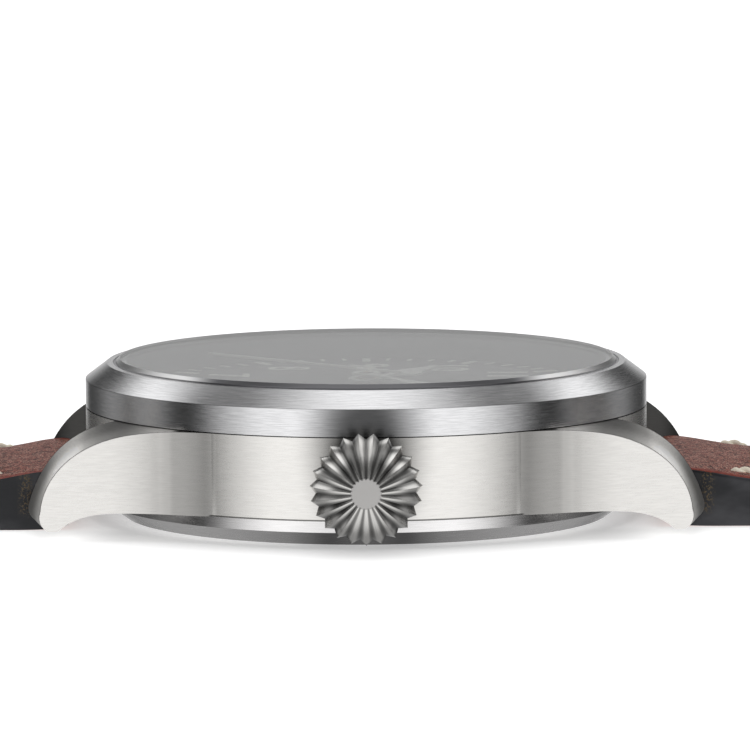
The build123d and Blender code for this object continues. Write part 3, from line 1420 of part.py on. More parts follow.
buckle_height = strap_lift + buckle_loop_radius
buckle_centre = bar_centre + buckle_half_length
with BuildPart() as buckle_strap:
    strap_half(1, buckle_top, ((end_reach, 0), (lift_start, 0), (lift_end, strap_lift),
                               (buckle_half_length, strap_lift)), buckle_half_length, 0)
    cross_rod(buckle_loop_radius, buckle_centre, buckle_height, strap_end_width / 2)
    cross_rod(buckle_bar_radius + slip, buckle_centre, buckle_height, strap_width, mode=cut)
    slab(2 * tang_slot_length, tang_slot_width, -overrun, 3 * strap_high, (buckle_centre, 0), mode=cut)
buckle_strap.part.label = "buckle_strap"
export_step(buckle_strap.part, "parts/buckle_strap.step")

with BuildPart() as hole_strap:
    strap_half(-1, hole_top, ((end_reach, 0), (hole_half_length, 0)), hole_half_length, strap_point_length)
    for hole in range(strap_holes):
        ring(strap_hole_radius, 0, -overrun, strap_high,
             (-bar_centre - hole_half_length + strap_hole_gap + hole * strap_hole_pitch, 0), cut)
hole_strap.part.label = "hole_strap"
export_step(hole_strap.part, "parts/hole_strap.step")

with BuildPart() as buckle_stitching:
    stitches(1, buckle_top, fixed_keeper_centre - keeper_width / 2)
buckle_stitching.part.label = "buckle_stitching"
export_step(buckle_stitching.part, "parts/buckle_stitching.step")

with BuildPart() as hole_stitching:
    stitches(-1, hole_top, hole_half_length - strap_point_length)
hole_stitching.part.label = "hole_stitching"
export_step(hole_stitching.part, "parts/hole_stitching.step")


def keeper(middle):
    """A leather loop round the strap, with room above it for the other half's tip."""
    inner_low = strap_lift - seat
    inner_high = strap_lift + strap_thin + keeper_room
    inner_half = strap_end_width / 2 + 6 * slip
    with BuildSketch(Plane.YZ.offset(middle - keeper_width / 2)) as face:
        with Locations((0, (inner_low + inner_high) / 2)):
            RectangleRounded(2 * inner_half + 2 * keeper_wall, inner_high - inner_low + 2 * keeper_wall,
                             keeper_wall)
            RectangleRounded(2 * inner_half, inner_high - inner_low, keeper_wall / 4, mode=cut)
    extrude(face.sketch, amount=keeper_width)


with BuildPart() as fixed_keeper:
    keeper(bar_centre + fixed_keeper_centre)
fixed_keeper.part.label = "fixed_keeper"
export_step(fixed_keeper.part, "parts/fixed_keeper.step")

with BuildPart() as free_keeper:
    keeper(bar_centre + free_keeper_centre)
free_keeper.part.label = "free_keeper"
export_step(free_keeper.part, "parts/free_keeper.step")

# Buckle: a frame that slopes down from its bar to the floor, its bar and its tang
arm_inner = strap_end_width / 2 + buckle_arm_gap
arm_outer = arm_inner + buckle_arm
frame_end = buckle_centre + buckle_length
with BuildPart() as buckle_frame:
    for side in (-1, 1):
        near, far = sorted((side * arm_inner, side * arm_outer))
        side_profile((
            (buckle_centre, buckle_height + buckle_front / 2),
            (buckle_centre + buckle_length / 2, buckle_height + buckle_front / 4),
            (frame_end, buckle_front),
            (frame_end, 0),
            (frame_end - buckle_front, 0),
            (buckle_centre + buckle_length / 2, buckle_height - buckle_front),
            (buckle_centre, buckle_height - buckle_front / 2),
        ), near, far)
        cross_rod(buckle_front / 2, buckle_centre, buckle_height, far, start=near)
    side_profile((
        (frame_end - buckle_front, 0),
        (frame_end, 0),
        (frame_end, buckle_front),
        (frame_end - buckle_front, buckle_front),
    ), -arm_outer, arm_outer)
    cross_rod(bar_tip_radius + slip, buckle_centre, buckle_height, arm_inner + buckle_arm / 2, mode=cut)
buckle_frame.part.label = "buckle_frame"
export_step(buckle_frame.part, "parts/buckle_frame.step")

with BuildPart() as buckle_bar:
    cross_rod(buckle_bar_radius, buckle_centre, buckle_height, arm_inner - 2 * slip)
    for end in (-1, 1):
        near, far = sorted((end * (arm_inner - 2 * slip), end * (arm_inner + buckle_arm / 2 - slip)))
        cross_rod(bar_tip_radius, buckle_centre, buckle_height, far, start=near)
buckle_bar.part.label = "buckle_bar"
export_step(buckle_bar.part, "parts/buckle_bar.step")

with BuildPart() as buckle_tang:
    cross_rod(tang_ring, buckle_centre, buckle_height, tang_width / 2)
    side_profile((
        (buckle_centre, buckle_height + tang_ring),
        (buckle_centre + tang_ring, buckle_height + tang_ring * 0.9),
        (frame_end - buckle_front / 2, buckle_front + slip + tang_thick),
        (frame_end, buckle_front + slip + tang_thick / 2),
        (frame_end, buckle_front + slip),
        (frame_end - buckle_front, buckle_front + slip),
        (buckle_centre + tang_ring, buckle_height + tang_ring * 0.9 - tang_thick),
        (buckle_centre, buckle_height),
    ), -tang_width / 2, tang_width / 2)
    cross_rod(buckle_bar_radius + slip, buckle_centre, buckle_height, tang_width, mode=cut)
buckle_tang.part.label = "buckle_tang"
export_step(buckle_tang.part, "parts/buckle_tang.step")
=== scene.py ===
import math
import random

import bpy
from mathutils import Matrix, Vector


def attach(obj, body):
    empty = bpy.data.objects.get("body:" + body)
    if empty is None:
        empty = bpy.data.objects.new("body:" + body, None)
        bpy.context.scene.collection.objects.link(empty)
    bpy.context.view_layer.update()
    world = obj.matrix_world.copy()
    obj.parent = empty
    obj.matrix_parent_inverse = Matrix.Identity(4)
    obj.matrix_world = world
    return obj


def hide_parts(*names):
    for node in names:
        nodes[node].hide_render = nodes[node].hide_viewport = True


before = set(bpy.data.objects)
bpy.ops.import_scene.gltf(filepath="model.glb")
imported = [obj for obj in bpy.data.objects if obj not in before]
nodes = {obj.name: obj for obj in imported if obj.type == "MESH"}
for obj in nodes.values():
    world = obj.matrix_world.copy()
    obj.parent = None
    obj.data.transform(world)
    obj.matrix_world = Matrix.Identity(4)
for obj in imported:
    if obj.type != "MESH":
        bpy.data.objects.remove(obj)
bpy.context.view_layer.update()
random.seed(7)
mm = 0.001
touch = 0.05 * mm       # how near a point lies to a cut to count as on it


# A socket in a shader: an expression on it adds the Math nodes
class Wire:
    def __init__(self, graph, socket):
        self.graph = graph
        self.socket = socket

    def math(self, operation, *others):
        return self.graph.math(operation, self, *others)

    def __abs__(self):
        return self.math("ABSOLUTE")

    def __add__(self, other):
        return self.math("ADD", other)

    def __radd__(self, other):
        return self.graph.math("ADD", other, self)

    def __sub__(self, other):
        return self.math("SUBTRACT", other)

    def __rsub__(self, other):
        return self.graph.math("SUBTRACT", other, self)

    def __mul__(self, other):
        return self.math("MULTIPLY", other)

    def __rmul__(self, other):
        return self.graph.math("MULTIPLY", other, self)


class Graph:
    def __init__(self, tree):
        self.tree = tree
        tree.nodes.clear()

    def node(self, kind, values=None, output=0, stops=None, ramp="LINEAR", **settings):
        made = self.tree.nodes.new(kind)
        for key, value in settings.items():
            setattr(made, key, value)
        if stops:
            made.color_ramp.interpolation = ramp
            while len(made.color_ramp.elements) < len(stops):
                made.color_ramp.elements.new(1)
            for element, (place, level) in zip(made.color_ramp.elements, stops):
                element.position = place
                element.color = grey(level)
        for key, value in (values or {}).items():
            if isinstance(value, Wire):
                self.tree.links.new(value.socket, made.inputs[key])
            else:
                made.inputs[key].default_value = value
        return Wire(self, made.outputs[output]) if made.outputs else made

    def math(self, operation, *terms):
        return self.node("ShaderNodeMath", dict(enumerate(terms)), operation=operation)

    def place(self):
        return self.node("ShaderNodeTexCoord", output="Object")

    def split(self, vector):
        made = self.node("ShaderNodeSeparateXYZ", {0: vector}).socket.node
        return [Wire(self, out) for out in made.outputs]

    def vector(self, x, y, z):
        return self.node("ShaderNodeCombineXYZ", {0: x, 1: y, 2: z})

    def step(self, value, low, high):
        return self.node("ShaderNodeMapRange", {"Value": value, "From Min": low, "From Max": high},
                         interpolation_type="SMOOTHSTEP")

    def between(self, value, low, high, soft=0.00001):
        return self.step(value, low - soft, low + soft) * self.step(value, high + soft, high - soft)

    def noise(self, vector, scale, detail=2.0, roughness=0.5):
        return self.node("ShaderNodeTexNoise", {"Vector": vector, "Scale": scale, "Detail": detail,
                                                "Roughness": roughness})

    def blend(self, share, first, second):
        return self.node("ShaderNodeMix", {0: share, 6: first, 7: second}, output=2, data_type="RGBA")

    def shade(self, share, dark, light):
        return self.node("ShaderNodeMix", {0: share, 2: dark, 3: light})

    def lit(self, tone, light):
        return self.node("ShaderNodeVectorMath", {0: tone, "Scale": light}, operation="SCALE")

    def bump(self, height, strength, distance):
        return self.node("ShaderNodeBump", {"Strength": strength, "Distance": distance, "Height": height})


def newMaterial(name):
    material = bpy.data.materials.new(name)
    material.use_nodes = True
    return material, Graph(material.node_tree)


def close(graph, values):
    surface = graph.node("ShaderNodeBsdfPrincipled", values)
    graph.node("ShaderNodeOutputMaterial", {"Surface": surface})


def rgb(red, green, blue):
    return (red, green, blue, 1)


def grey(level):
    return rgb(level, level, level)


def darker(tone, share):
    return tuple(share * part for part in tone[:3]) + (1,)


def distance(x, y):
    return (x * x + y * y).math("POWER", 0.5)


# Painted light and shade on the steel's colour, by its distance from the middle, sideways and in metres
paintedLightCurves = {
    "flank": [(0.0097, 1.04), (0.0104, 1.0), (0.0108, 0.88), (0.0112, 0.58), (0.0116, 0.44), (0.0121, 0.4),
              (0.0127, 0.4), (0.0132, 0.43), (0.0138, 0.46), (0.0144, 0.51), (0.0150, 0.66), (0.0165, 0.85),
              (0.0185, 1.07)],
    "lugTop": [(0.0152, 1.3), (0.0162, 0.8), (0.0174, 0.25), (0.0192, 0.25), (0.0205, 0.6), (0.0212, 1.3),
               (0.0226, 1.3), (0.0236, 0.35)],
    "bezelSlope": [(0.0, 1.1), (0.0045, 0.95), (0.0065, 1.0), (0.0080, 1.1), (0.0105, 0.8), (0.0120, 0.7),
                   (0.0138, 0.9), (0.0150, 1.3), (0.0170, 1.4), (0.0185, 1.0)],
    "back": [(0.0, 0.9), (0.0040, 1.15), (0.0080, 1.3), (0.0110, 1.2), (0.0140, 0.6), (0.0180, 0.4)],
    "backSlope": [(0.0, 0.45), (0.0020, 0.25), (0.0030, 0.22), (0.0040, 0.45), (0.0055, 0.8), (0.0083, 1.15),
                  (0.0110, 1.35), (0.0140, 1.4)],
}
curveReach = 0.025      # the curves' far end
curveTop = 2.5          # and the most light that they can give


def lightAlong(graph, reach, name):
    stops = [(place / curveReach, light / curveTop) for place, light in paintedLightCurves[name]]
    curve = graph.node("ShaderNodeValToRGB", {0: reach * (1 / curveReach)}, stops=stops, ramp="B_SPLINE")
    return curve * curveTop


# Places in metres. A pair runs from where a painted shade starts to where it is full, and a light says how
# much lighter or darker the steel's colour is painted there
# Painted shadow of the crown on the case and the bezel
crownShade = {
    "height": 0.0075,
    "squash": 0.35,
    "reach": (0.0014, 0.0054),
    "depth": (-0.012, -0.009),
    "light": 0.12,
}
caseMarks = {
    "taper": 0.119,                     # how fast a lug narrows towards its tip
    "lugRoot": (0.0135, 0.0142),
    "lugEdge": (0.01843, 0.0183),
    "lugInside": (0.0098, 0.0099),
    "topRough": 0.55,
    "front": (0.0142, 0.0183),          # painted highlight on the lug tops' near parts, which are also less like a mirror
    "frontReach": (0.0160, 0.0195),
    "frontLight": 1.5,
    "frontDull": 0.6,
    "lip": (0.008085, 0.0083),          # painted shade in the seam under the bezel
    "lipRadius": (0.02099, 0.02095),
    "lipLight": 0.15,
    "lugWall": (0.0098, 0.01012),       # painted shade in the corner of a lug's inner wall
    "lugWallSoft": 0.00005,
    "lugWallReach": (0.0195, 0.02),
    "lugWallLight": 0.12,
    "blend": (0.01088, 0.01113),        # painted highlight where a lug grows out of the flank
    "blendSoft": 0.0001,
    "blendLight": 1.18,
    "edgeLine": (0.01822, 0.01838),     # painted shade line between a lug's top and its flank
    "edgeLineLight": 0.4,
    "foot": (0.00204, 0.00217),         # painted shade in the seam above the case back
    "footRadius": (0.02104, 0.02101),
    "footLight": 0.22,
}
# Painted light on the bezel: a light curve on its slope, the crown's painted shadow on its side, and painted
# shade lines
bezelMarks = {
    "slope": (0.01018, 0.01022),
    "edge": (0.01017, 0.01022),
    "edgeLight": 0.6,
    "seam": (0.0082, 0.00818),
    "seamRadius": (0.02097, 0.02093),
    "seamLight": 0.06,
}
# Painted light and shade on the case back's rim and slope, and a painted shade line at its seam
backMarks = {"rim": (0.00102, 0.00106), "seam": (0.00192, 0.00194), "seamLight": 0.05}
crownMarks = {
    "axisHeight": 0.0048,
    "flutes": 23.0,
    # painted shade in the flutes' hollows and painted highlights on their ridges
    "fluteSpan": (-1.0, 0.7),
    "hollowLight": 0.35,
    "ridgeLight": 1.15,
    "disc": (0.00115, 0.0011),
    "discFace": (-0.02635, -0.02638),
    "discTone": rgb(0.5, 0.49, 0.48),
    "discRough": 0.55,
}


# Paints the crown's shadow into the steel's colour
def underCrown(graph, x, y, z):
    up = z - crownShade["height"]
    away = (x * x + up * up * crownShade["squash"]).math("POWER", 0.5)
    clear = graph.step(away, *crownShade["reach"]) + graph.step(y, *crownShade["depth"])
    return graph.shade(clear, crownShade["light"], 1.0)


# Paints the case's light and shade into its colour: the light curves, the crown's shadow, highlights and
# shaded seams
def paintCase(graph, tone, rough):
    marks = caseMarks
    x, y, z = graph.split(graph.place())
    reach = abs(x)
    depth = abs(y)
    radius = distance(x, y)
    tapered = depth + marks["taper"] * reach
    root = graph.step(reach, *marks["lugRoot"])
    top = graph.step(tapered, *marks["lugEdge"]) * root * graph.step(depth, *marks["lugInside"])
    front = top * (graph.step(tapered, *marks["front"]) * graph.step(reach, *marks["frontReach"]))
    lip = graph.between(z, *marks["lip"]) * graph.step(radius, *marks["lipRadius"])
    wall = graph.between(depth, *marks["lugWall"], marks["lugWallSoft"])
    wall = wall * graph.step(reach, *marks["lugWallReach"])
    blend = graph.between(reach, *marks["blend"], marks["blendSoft"])
    line = graph.between(tapered, *marks["edgeLine"]) * root
    foot = graph.between(z, *marks["foot"]) * graph.step(radius, *marks["footRadius"])
    light = graph.shade(top, lightAlong(graph, reach, "flank"), lightAlong(graph, reach, "lugTop"))
    light = light * underCrown(graph, x, y, z)
    for mask, name in ((lip, "lipLight"), (wall, "lugWallLight"), (front, "frontLight"),
                       (blend, "blendLight"), (line, "edgeLineLight"), (foot, "footLight")):
        light = light * graph.shade(mask, 1.0, marks[name])
    rough = graph.shade(top, rough, marks["topRough"])
    return graph.lit(tone, light), rough, 1.0 - marks["frontDull"] * front


def paintBezel(graph, tone, rough):
    marks = bezelMarks
    x, y, z = graph.split(graph.place())
    slope = graph.step(z, *marks["slope"])
    edge = graph.between(z, *marks["edge"])
    seam = graph.step(z, *marks["seam"]) * graph.step(distance(x, y), *marks["seamRadius"])
    light = graph.shade(slope, underCrown(graph, x, y, z), lightAlong(graph, abs(x), "bezelSlope"))
    light = light * graph.shade(seam, 1.0, marks["seamLight"]) * graph.shade(edge, 1.0, marks["edgeLight"])
    return graph.lit(tone, light), rough, 1.0


def paintBack(graph, tone, rough):
    x, y, z = graph.split(graph.place())
    rim = graph.step(z, *backMarks["rim"])
    seam = graph.step(z, *backMarks["seam"])
    light = graph.shade(rim, lightAlong(graph, abs(x), "backSlope"), lightAlong(graph, abs(x), "back"))
    return graph.lit(tone, light * graph.shade(seam, 1.0, backMarks["seamLight"])), rough, 1.0


def paintCrown(graph, tone, rough):
    marks = crownMarks
    x, y, z = graph.split(graph.place())
    height = z - marks["axisHeight"]
    turn = height.math("ARCTAN2", x) + math.pi / 2
    ridge = (turn * marks["flutes"]).math("COSINE")
    light = graph.shade(graph.step(ridge, *marks["fluteSpan"]), marks["hollowLight"], marks["ridgeLight"])
    disc = graph.step(distance(x, height), *marks["disc"]) * graph.step(y, *marks["discFace"])
    tone = graph.blend(disc, graph.lit(tone, light), marks["discTone"])
    return tone, graph.shade(disc, rough, marks["discRough"]), 1.0


def plainSteel(graph, tone, rough):
    return tone, rough, 1.0


# Brushed steel: grain lines run level, round the axis or along the crown's flutes
steelLooks = {
    "caseSteel": dict(tone=rgb(0.76, 0.745, 0.72), rough=0.28, grain="level", lines=13000, along=900,
                      depth=0.12, groove=0.88, paint=paintCase),
    "bezelSteel": dict(tone=rgb(0.75, 0.75, 0.76), rough=0.22, grain="turned", lines=13000, along=14,
                       depth=0.25, groove=0.78, paint=paintBezel),
    "backSteel": dict(tone=rgb(0.7, 0.69, 0.69), rough=0.26, grain="turned", lines=13000, along=14,
                      depth=0.12, groove=0.88, paint=paintBack),
    "crownSteel": dict(tone=rgb(0.66, 0.65, 0.63), rough=0.2, grain="flutes", lines=40, along=300,
                       depth=0.3, groove=0.88, paint=paintCrown),
    "buckleSteel": dict(tone=rgb(0.72, 0.71, 0.7), rough=0.26, grain="level", lines=8000, along=400,
                        depth=0.2, groove=0.88, paint=plainSteel),
    "partSteel": dict(tone=rgb(0.6, 0.6, 0.61), rough=0.2, grain="turned", lines=9000, along=4,
                      depth=0.1, groove=0.88, paint=plainSteel),
}
steelGrain = {
    "detail": 3.0,
    "roughness": 0.6,
    "span": (0.25, 0.75),
    "roughSwing": 0.1,
    "cloud": 260.0,         # clouds in a metre, far wider than the lines
    "cloudSwing": 0.06,
    "height": 0.00002,
    "squares": 1e5,         # spreads the squared radius of the crown's flutes
}


def grainCoordinates(graph, look):
    x, y, z = graph.split(graph.place())
    if look["grain"] == "turned":
        turn = y.math("ARCTAN2", x)
        return graph.vector(distance(x, y) * look["lines"], turn * look["along"], z * look["lines"])
    if look["grain"] == "flutes":
        height = z - crownMarks["axisHeight"]
        turn = height.math("ARCTAN2", x)
        squared = (x * x + height * height) * steelGrain["squares"]
        return graph.vector(turn * look["lines"], y * look["along"], squared)
    return graph.vector(x * look["along"], y * look["along"], z * look["lines"])


def steelMaterial(name):
    look = steelLooks[name]
    material, graph = newMaterial(name)
    lines = graph.noise(grainCoordinates(graph, look), 1.0, steelGrain["detail"], steelGrain["roughness"])
    cloud = graph.noise(graph.place(), steelGrain["cloud"])
    ridge = graph.step(lines, *steelGrain["span"])
    tone = graph.blend(ridge, darker(look["tone"], look["groove"]), look["tone"])
    rough = look["rough"] + steelGrain["roughSwing"] * (lines - 0.5)
    rough = rough + steelGrain["cloudSwing"] * (cloud - 0.5)
    # Each piece's paint function paints its light and shade into the colour; plain steel gets none
    tone, rough, metal = look["paint"](graph, tone, rough)
    close(graph, {"Base Color": tone, "Metallic": metal, "Roughness": rough,
                  "Normal": graph.bump(lines, look["depth"], steelGrain["height"])})
    return material


plainLooks = {
    "dialBlack": dict(tone=rgb(0.012, 0.012, 0.014), rough=0.55, metal=0.0, speck=0.1),
    "dialPrint": dict(tone=rgb(0.92, 0.92, 0.86), rough=0.6, metal=0.0, speck=0.05),
    "handPaint": dict(tone=rgb(0.95, 0.95, 0.9), rough=0.4, metal=0.0, speck=0.05),
    "sealNylon": dict(tone=rgb(0.34, 0.34, 0.35), rough=0.5, metal=0.0, speck=0.1),
    "sealRubber": dict(tone=rgb(0.02, 0.02, 0.022), rough=0.6, metal=0.0, speck=0.2),
    "plateNickel": dict(tone=rgb(0.68, 0.66, 0.62), rough=0.32, metal=1.0, speck=0.15),
    "wheelGilt": dict(tone=rgb(0.78, 0.58, 0.3), rough=0.26, metal=1.0, speck=0.12),
    "screwBlue": dict(tone=rgb(0.04, 0.08, 0.3), rough=0.16, metal=1.0, speck=0.1),
    "jewelRed": dict(tone=rgb(0.5, 0.02, 0.07), rough=0.08, metal=0.0, speck=0.1),
    "springSteel": dict(tone=rgb(0.45, 0.47, 0.52), rough=0.22, metal=1.0, speck=0.1),
    "holderSteel": dict(tone=rgb(0.62, 0.62, 0.62), rough=0.35, metal=1.0, speck=0.1),
}
plainGrain = {
    "scale": 2600.0,
    "detail": 3.0,
    "dark": 0.6,
    "roughSwing": 0.12,
    "strength": 0.1,
    "height": 0.00001,
}


def plainMaterial(name):
    look = plainLooks[name]
    material, graph = newMaterial(name)
    grain = graph.noise(graph.place(), plainGrain["scale"], plainGrain["detail"])
    tone = graph.blend(grain * look["speck"] * 2.0, look["tone"], darker(look["tone"], plainGrain["dark"]))
    close(graph, {"Base Color": tone, "Metallic": look["metal"],
                  "Roughness": look["rough"] + plainGrain["roughSwing"] * (grain - 0.5),
                  "Normal": graph.bump(grain, plainGrain["strength"], plainGrain["height"])})
    return material


crystalLook = {
    "tint": rgb(0.97, 0.98, 0.98),
    "bend": 1.55,
    "groundRadius": (0.01841, 0.01845),     # its ground edge, on the front crystal only
    "groundHeight": (0.002, 0.003),
    "groundSides": (0.0105, 0.0135),
    # painted light: the ground edge's colour is darker in the middle and lighter to the sides
    "groundDark": rgb(0.2, 0.2, 0.21),
    "groundLight": rgb(0.85, 0.85, 0.85),
    "groundRough": 0.3,
}


def glassMaterial(name):
    look = crystalLook
    material, graph = newMaterial(name)
    x, y, z = graph.split(graph.place())
    clear = graph.node("ShaderNodeBsdfPrincipled", {"Base Color": look["tint"], "Roughness": 0.0,
                                                    "Transmission Weight": 1.0, "IOR": look["bend"]})
    tone = graph.blend(graph.step(abs(x), *look["groundSides"]), look["groundDark"], look["groundLight"])
    ground = graph.node("ShaderNodeBsdfPrincipled", {"Base Color": tone, "Metallic": 1.0,
                                                     "Roughness": look["groundRough"]})
    edge = graph.step(distance(x, y), *look["groundRadius"]) * graph.step(z, *look["groundHeight"])
    surface = graph.node("ShaderNodeMixShader", {0: edge, 1: clear, 2: ground})
    graph.node("ShaderNodeOutputMaterial", {"Surface": surface})
    return material


# Leather. A grain is its scale in a metre, its detail and its roughness, and a span runs from where a shade
# starts to where it is full
leather = {
    "top": rgb(0.23, 0.044, 0.022),
    "topDark": rgb(0.04, 0.01, 0.006),
    # light specks on the top: fine cracks in the grain with a painted sheen
    "topWearAndSheen": rgb(0.6, 0.33, 0.26),
    "rim": rgb(0.2, 0.022, 0.01),
    "paint": rgb(0.009, 0.0095, 0.012),
    # lighter clouds on the painted edge: a painted sheen
    "paintSheen": rgb(0.045, 0.045, 0.05),
    "endWorn": rgb(0.1, 0.07, 0.035),
    "lining": rgb(0.25, 0.12, 0.06),
    "pebble": 4200.0,
    "crease": (1300.0, 3.0),
    "fine": (5200.0, 3.0, 0.6),
    "speck": (9000.0, 2.0, 0.7),
    "pebbleSpan": (0.42, 0.72),
    "pebbleFine": 0.3,                      # how far the fine grain ruffles the pebbles
    "speckSpan": (0.69, 0.77),
    "speckCrease": 0.3,
    "speckHeight": 0.6,
    "creaseHeight": 0.4,
    "topRough": 0.42,
    "pebbleRough": 0.3,
    "topBump": 0.7,
    "rimTaper": (0.0129, 0.0229, 0.062),    # slope of the strap's sides, where it starts and how long it is
    "rimSpan": (0.0089, 0.0094),
    "rimShare": 0.85,
    "cloud": (420.0, 3.0),
    "cloudStretch": 0.5,
    "cloudSpan": (0.42, 0.72),
    "streak": (1500.0, 3.0),
    "streakStretch": 0.35,
    "edgeHeights": (0.7, 0.3, 1.5),         # of the streaks, the creases and the worn ends
    "edgeRough": 0.36,
    "edgeBump": 0.6,
    "endPlace": 0.0251,                     # the painted edge is worn where the strap leaves the case
    "endSpan": (0.0007, 0.0001),
    "endHeight": (0.0008, 0.0016),
    "endSpeck": (7000.0, 2.0, 0.7),
    "endSpeckSpan": (0.5, 0.62),
    "liningRough": 0.6,
    "liningBump": 0.3,
    "roughSwing": 0.2,
    "bumpHeight": 0.00006,
    "gloss": 0.3,
}


def topSurface(graph, place, rim=True):
    look = leather
    cells = graph.node("ShaderNodeTexVoronoi", {"Vector": place, "Scale": look["pebble"]},
                       feature="SMOOTH_F1")
    fine = graph.noise(place, *look["fine"])
    crease = graph.noise(place, *look["crease"])
    speck = graph.noise(place, *look["speck"])
    dark = graph.step(cells + look["pebbleFine"] * fine, *look["pebbleSpan"])
    # light specks: fine cracks and a painted sheen
    wearAndSheen = graph.step(speck + look["speckCrease"] * crease, *look["speckSpan"])
    tone = graph.blend(dark, look["top"], look["topDark"])
    tone = graph.blend(wearAndSheen, tone, look["topWearAndSheen"])
    if rim:
        x, y, z = graph.split(place)
        slope, start, length = look["rimTaper"]
        tapered = abs(y) + slope * (abs(x) - start).math("MINIMUM", length)
        tone = graph.blend(look["rimShare"] * graph.step(tapered, *look["rimSpan"]), tone, look["rim"])
    height = 1.0 - cells + look["speckHeight"] * speck + look["creaseHeight"] * crease
    return tone, height, look["topRough"] + look["pebbleRough"] * cells, look["topBump"]


def keeperSurface(graph, place):
    return topSurface(graph, place, rim=False)


def edgeSurface(graph, place):
    look = leather
    x, y, z = graph.split(place)
    crease = graph.noise(place, *look["crease"])
    speck = graph.noise(place, *look["endSpeck"])
    cloud = graph.noise(graph.vector(x * look["cloudStretch"], y, z), *look["cloud"])
    streaks = graph.noise(graph.vector(x * look["streakStretch"], y, z), *look["streak"])
    fromEnd = abs(abs(x) - look["endPlace"])
    wearAndSheen = graph.step(fromEnd, *look["endSpan"]) * graph.step(z, *look["endHeight"])
    # painted sheen in broad clouds on the painted edge
    tone = graph.blend(graph.step(cloud, *look["cloudSpan"]), look["paint"], look["paintSheen"])
    tone = graph.blend(wearAndSheen * graph.step(speck, *look["endSpeckSpan"]), tone, look["endWorn"])
    streakHeight, creaseHeight, wornHeight = look["edgeHeights"]
    height = streakHeight * streaks + creaseHeight * crease + wornHeight * wearAndSheen * speck
    return tone, height, look["edgeRough"] + look["roughSwing"] * (streaks - 0.5), look["edgeBump"]


def liningSurface(graph, place):
    look = leather
    fine = graph.noise(place, *look["fine"])
    tone = graph.blend(fine, look["lining"], look["top"])
    return tone, fine, look["liningRough"] + look["roughSwing"] * (fine - 0.5), look["liningBump"]


def leatherMaterial(name, surfaceOf):
    material, graph = newMaterial(name)
    tone, height, rough, strength = surfaceOf(graph, graph.place())
    close(graph, {"Base Color": tone, "Roughness": rough, "Specular IOR Level": leather["gloss"],
                  "Normal": graph.bump(height, strength, leather["bumpHeight"])})
    return material


threadLook = {
    "pale": rgb(0.95, 0.9, 0.78),
    "dark": rgb(0.78, 0.7, 0.55),
    "fibre": 9000.0,
    "rough": 0.62,
    "roughSwing": 0.2,
    "strength": 0.4,
    "height": 0.00004,
}


def threadMaterial(name):
    look = threadLook
    material, graph = newMaterial(name)
    fibre = graph.noise(graph.place(), look["fibre"])
    close(graph, {"Base Color": graph.blend(fibre, look["pale"], look["dark"]),
                  "Roughness": look["rough"] + look["roughSwing"] * (fibre - 0.5),
                  "Normal": graph.bump(fibre, look["strength"], look["height"])})
    return material


# Finish of each CAD node
finishes = {
    "caseSteel": ["mid_case", "spring_bars"],
    "bezelSteel": ["bezel"],
    "backSteel": ["case_back"],
    "crownSteel": ["crown"],
    "buckleSteel": ["buckle_frame", "buckle_bar", "buckle_tang"],
    "partSteel": ["crown_tube", "case_clamps", "winding_stem", "winding_pinion", "clutch_wheel",
                  "crown_wheel", "ratchet_wheel", "barrel_arbor", "click", "setting_lever", "cannon_pinion",
                  "escape_wheel", "pallet_fork", "balance_staff", "hairspring_stud"],
    "dialBlack": ["dial", "flange_ring"],
    "dialPrint": ["dial_markers"],
    "handPaint": ["hour_hand", "minute_hand", "seconds_hand"],
    "sealNylon": ["crystal_gasket"],
    "sealRubber": ["bezel_gasket", "case_back_gasket", "back_crystal_gasket", "crown_gasket"],
    "plateNickel": ["main_plate", "barrel_bridge", "train_bridge", "balance_cock", "pallet_bridge"],
    "wheelGilt": ["mainspring_barrel", "centre_wheel", "third_wheel", "fourth_wheel", "balance_wheel",
                  "minute_wheel", "hour_wheel"],
    "screwBlue": ["movement_screws"],
    "jewelRed": ["jewels"],
    "springSteel": ["mainspring", "hairspring"],
    "holderSteel": ["movement_holder"],
    "glass": ["crystal", "back_crystal"],
}
finished = {}
for finish, names in finishes.items():
    if finish in steelLooks:
        finished[finish] = steelMaterial(finish)
    elif finish in plainLooks:
        finished[finish] = plainMaterial(finish)
    else:
        finished[finish] = glassMaterial(finish)
    for name in names:
        node = nodes[name]
        node.data.materials.clear()
        node.data.materials.append(finished[finish])
print("CAD nodes have their finishes")

topLeather = leatherMaterial("topLeather", topSurface)
keeperLeather = leatherMaterial("keeperLeather", keeperSurface)
edgePaint = leatherMaterial("edgePaint", edgeSurface)
liningLeather = leatherMaterial("liningLeather", liningSurface)
thread = threadMaterial("thread")


def clearSelection():
    if bpy.context.object and bpy.context.object.mode != "OBJECT":
        bpy.ops.object.mode_set(mode="OBJECT")
    bpy.ops.object.select_all(action="DESELECT")


def selectOnly(piece):
    clearSelection()
    bpy.context.view_layer.objects.active = piece
    piece.select_set(True)


def joinAll(pieces):
    clearSelection()
    for piece in pieces:
        piece.select_set(True)
    bpy.context.view_layer.objects.active = pieces[0]
    bpy.ops.object.join()
    return bpy.context.object


def applyPlace():
    bpy.ops.object.transform_apply(location=True, rotation=True, scale=True)


def cutAcross(at, normal):
    bpy.ops.mesh.select_all(action="SELECT")
    bpy.ops.mesh.bisect(plane_co=at, plane_no=normal)


def moveWhere(piece, test, shift=None, size=None):
    bpy.ops.object.mode_set(mode="OBJECT")
    for part in (piece.data.polygons, piece.data.edges):
        part.foreach_set("select", [False] * len(part))
    for vertex in piece.data.vertices:
        vertex.select = test(vertex.co)
    bpy.ops.object.mode_set(mode="EDIT")
    if shift:
        bpy.ops.transform.translate(value=shift)
    if size:
        bpy.ops.transform.resize(value=size, center_override=(0, 0, 0))


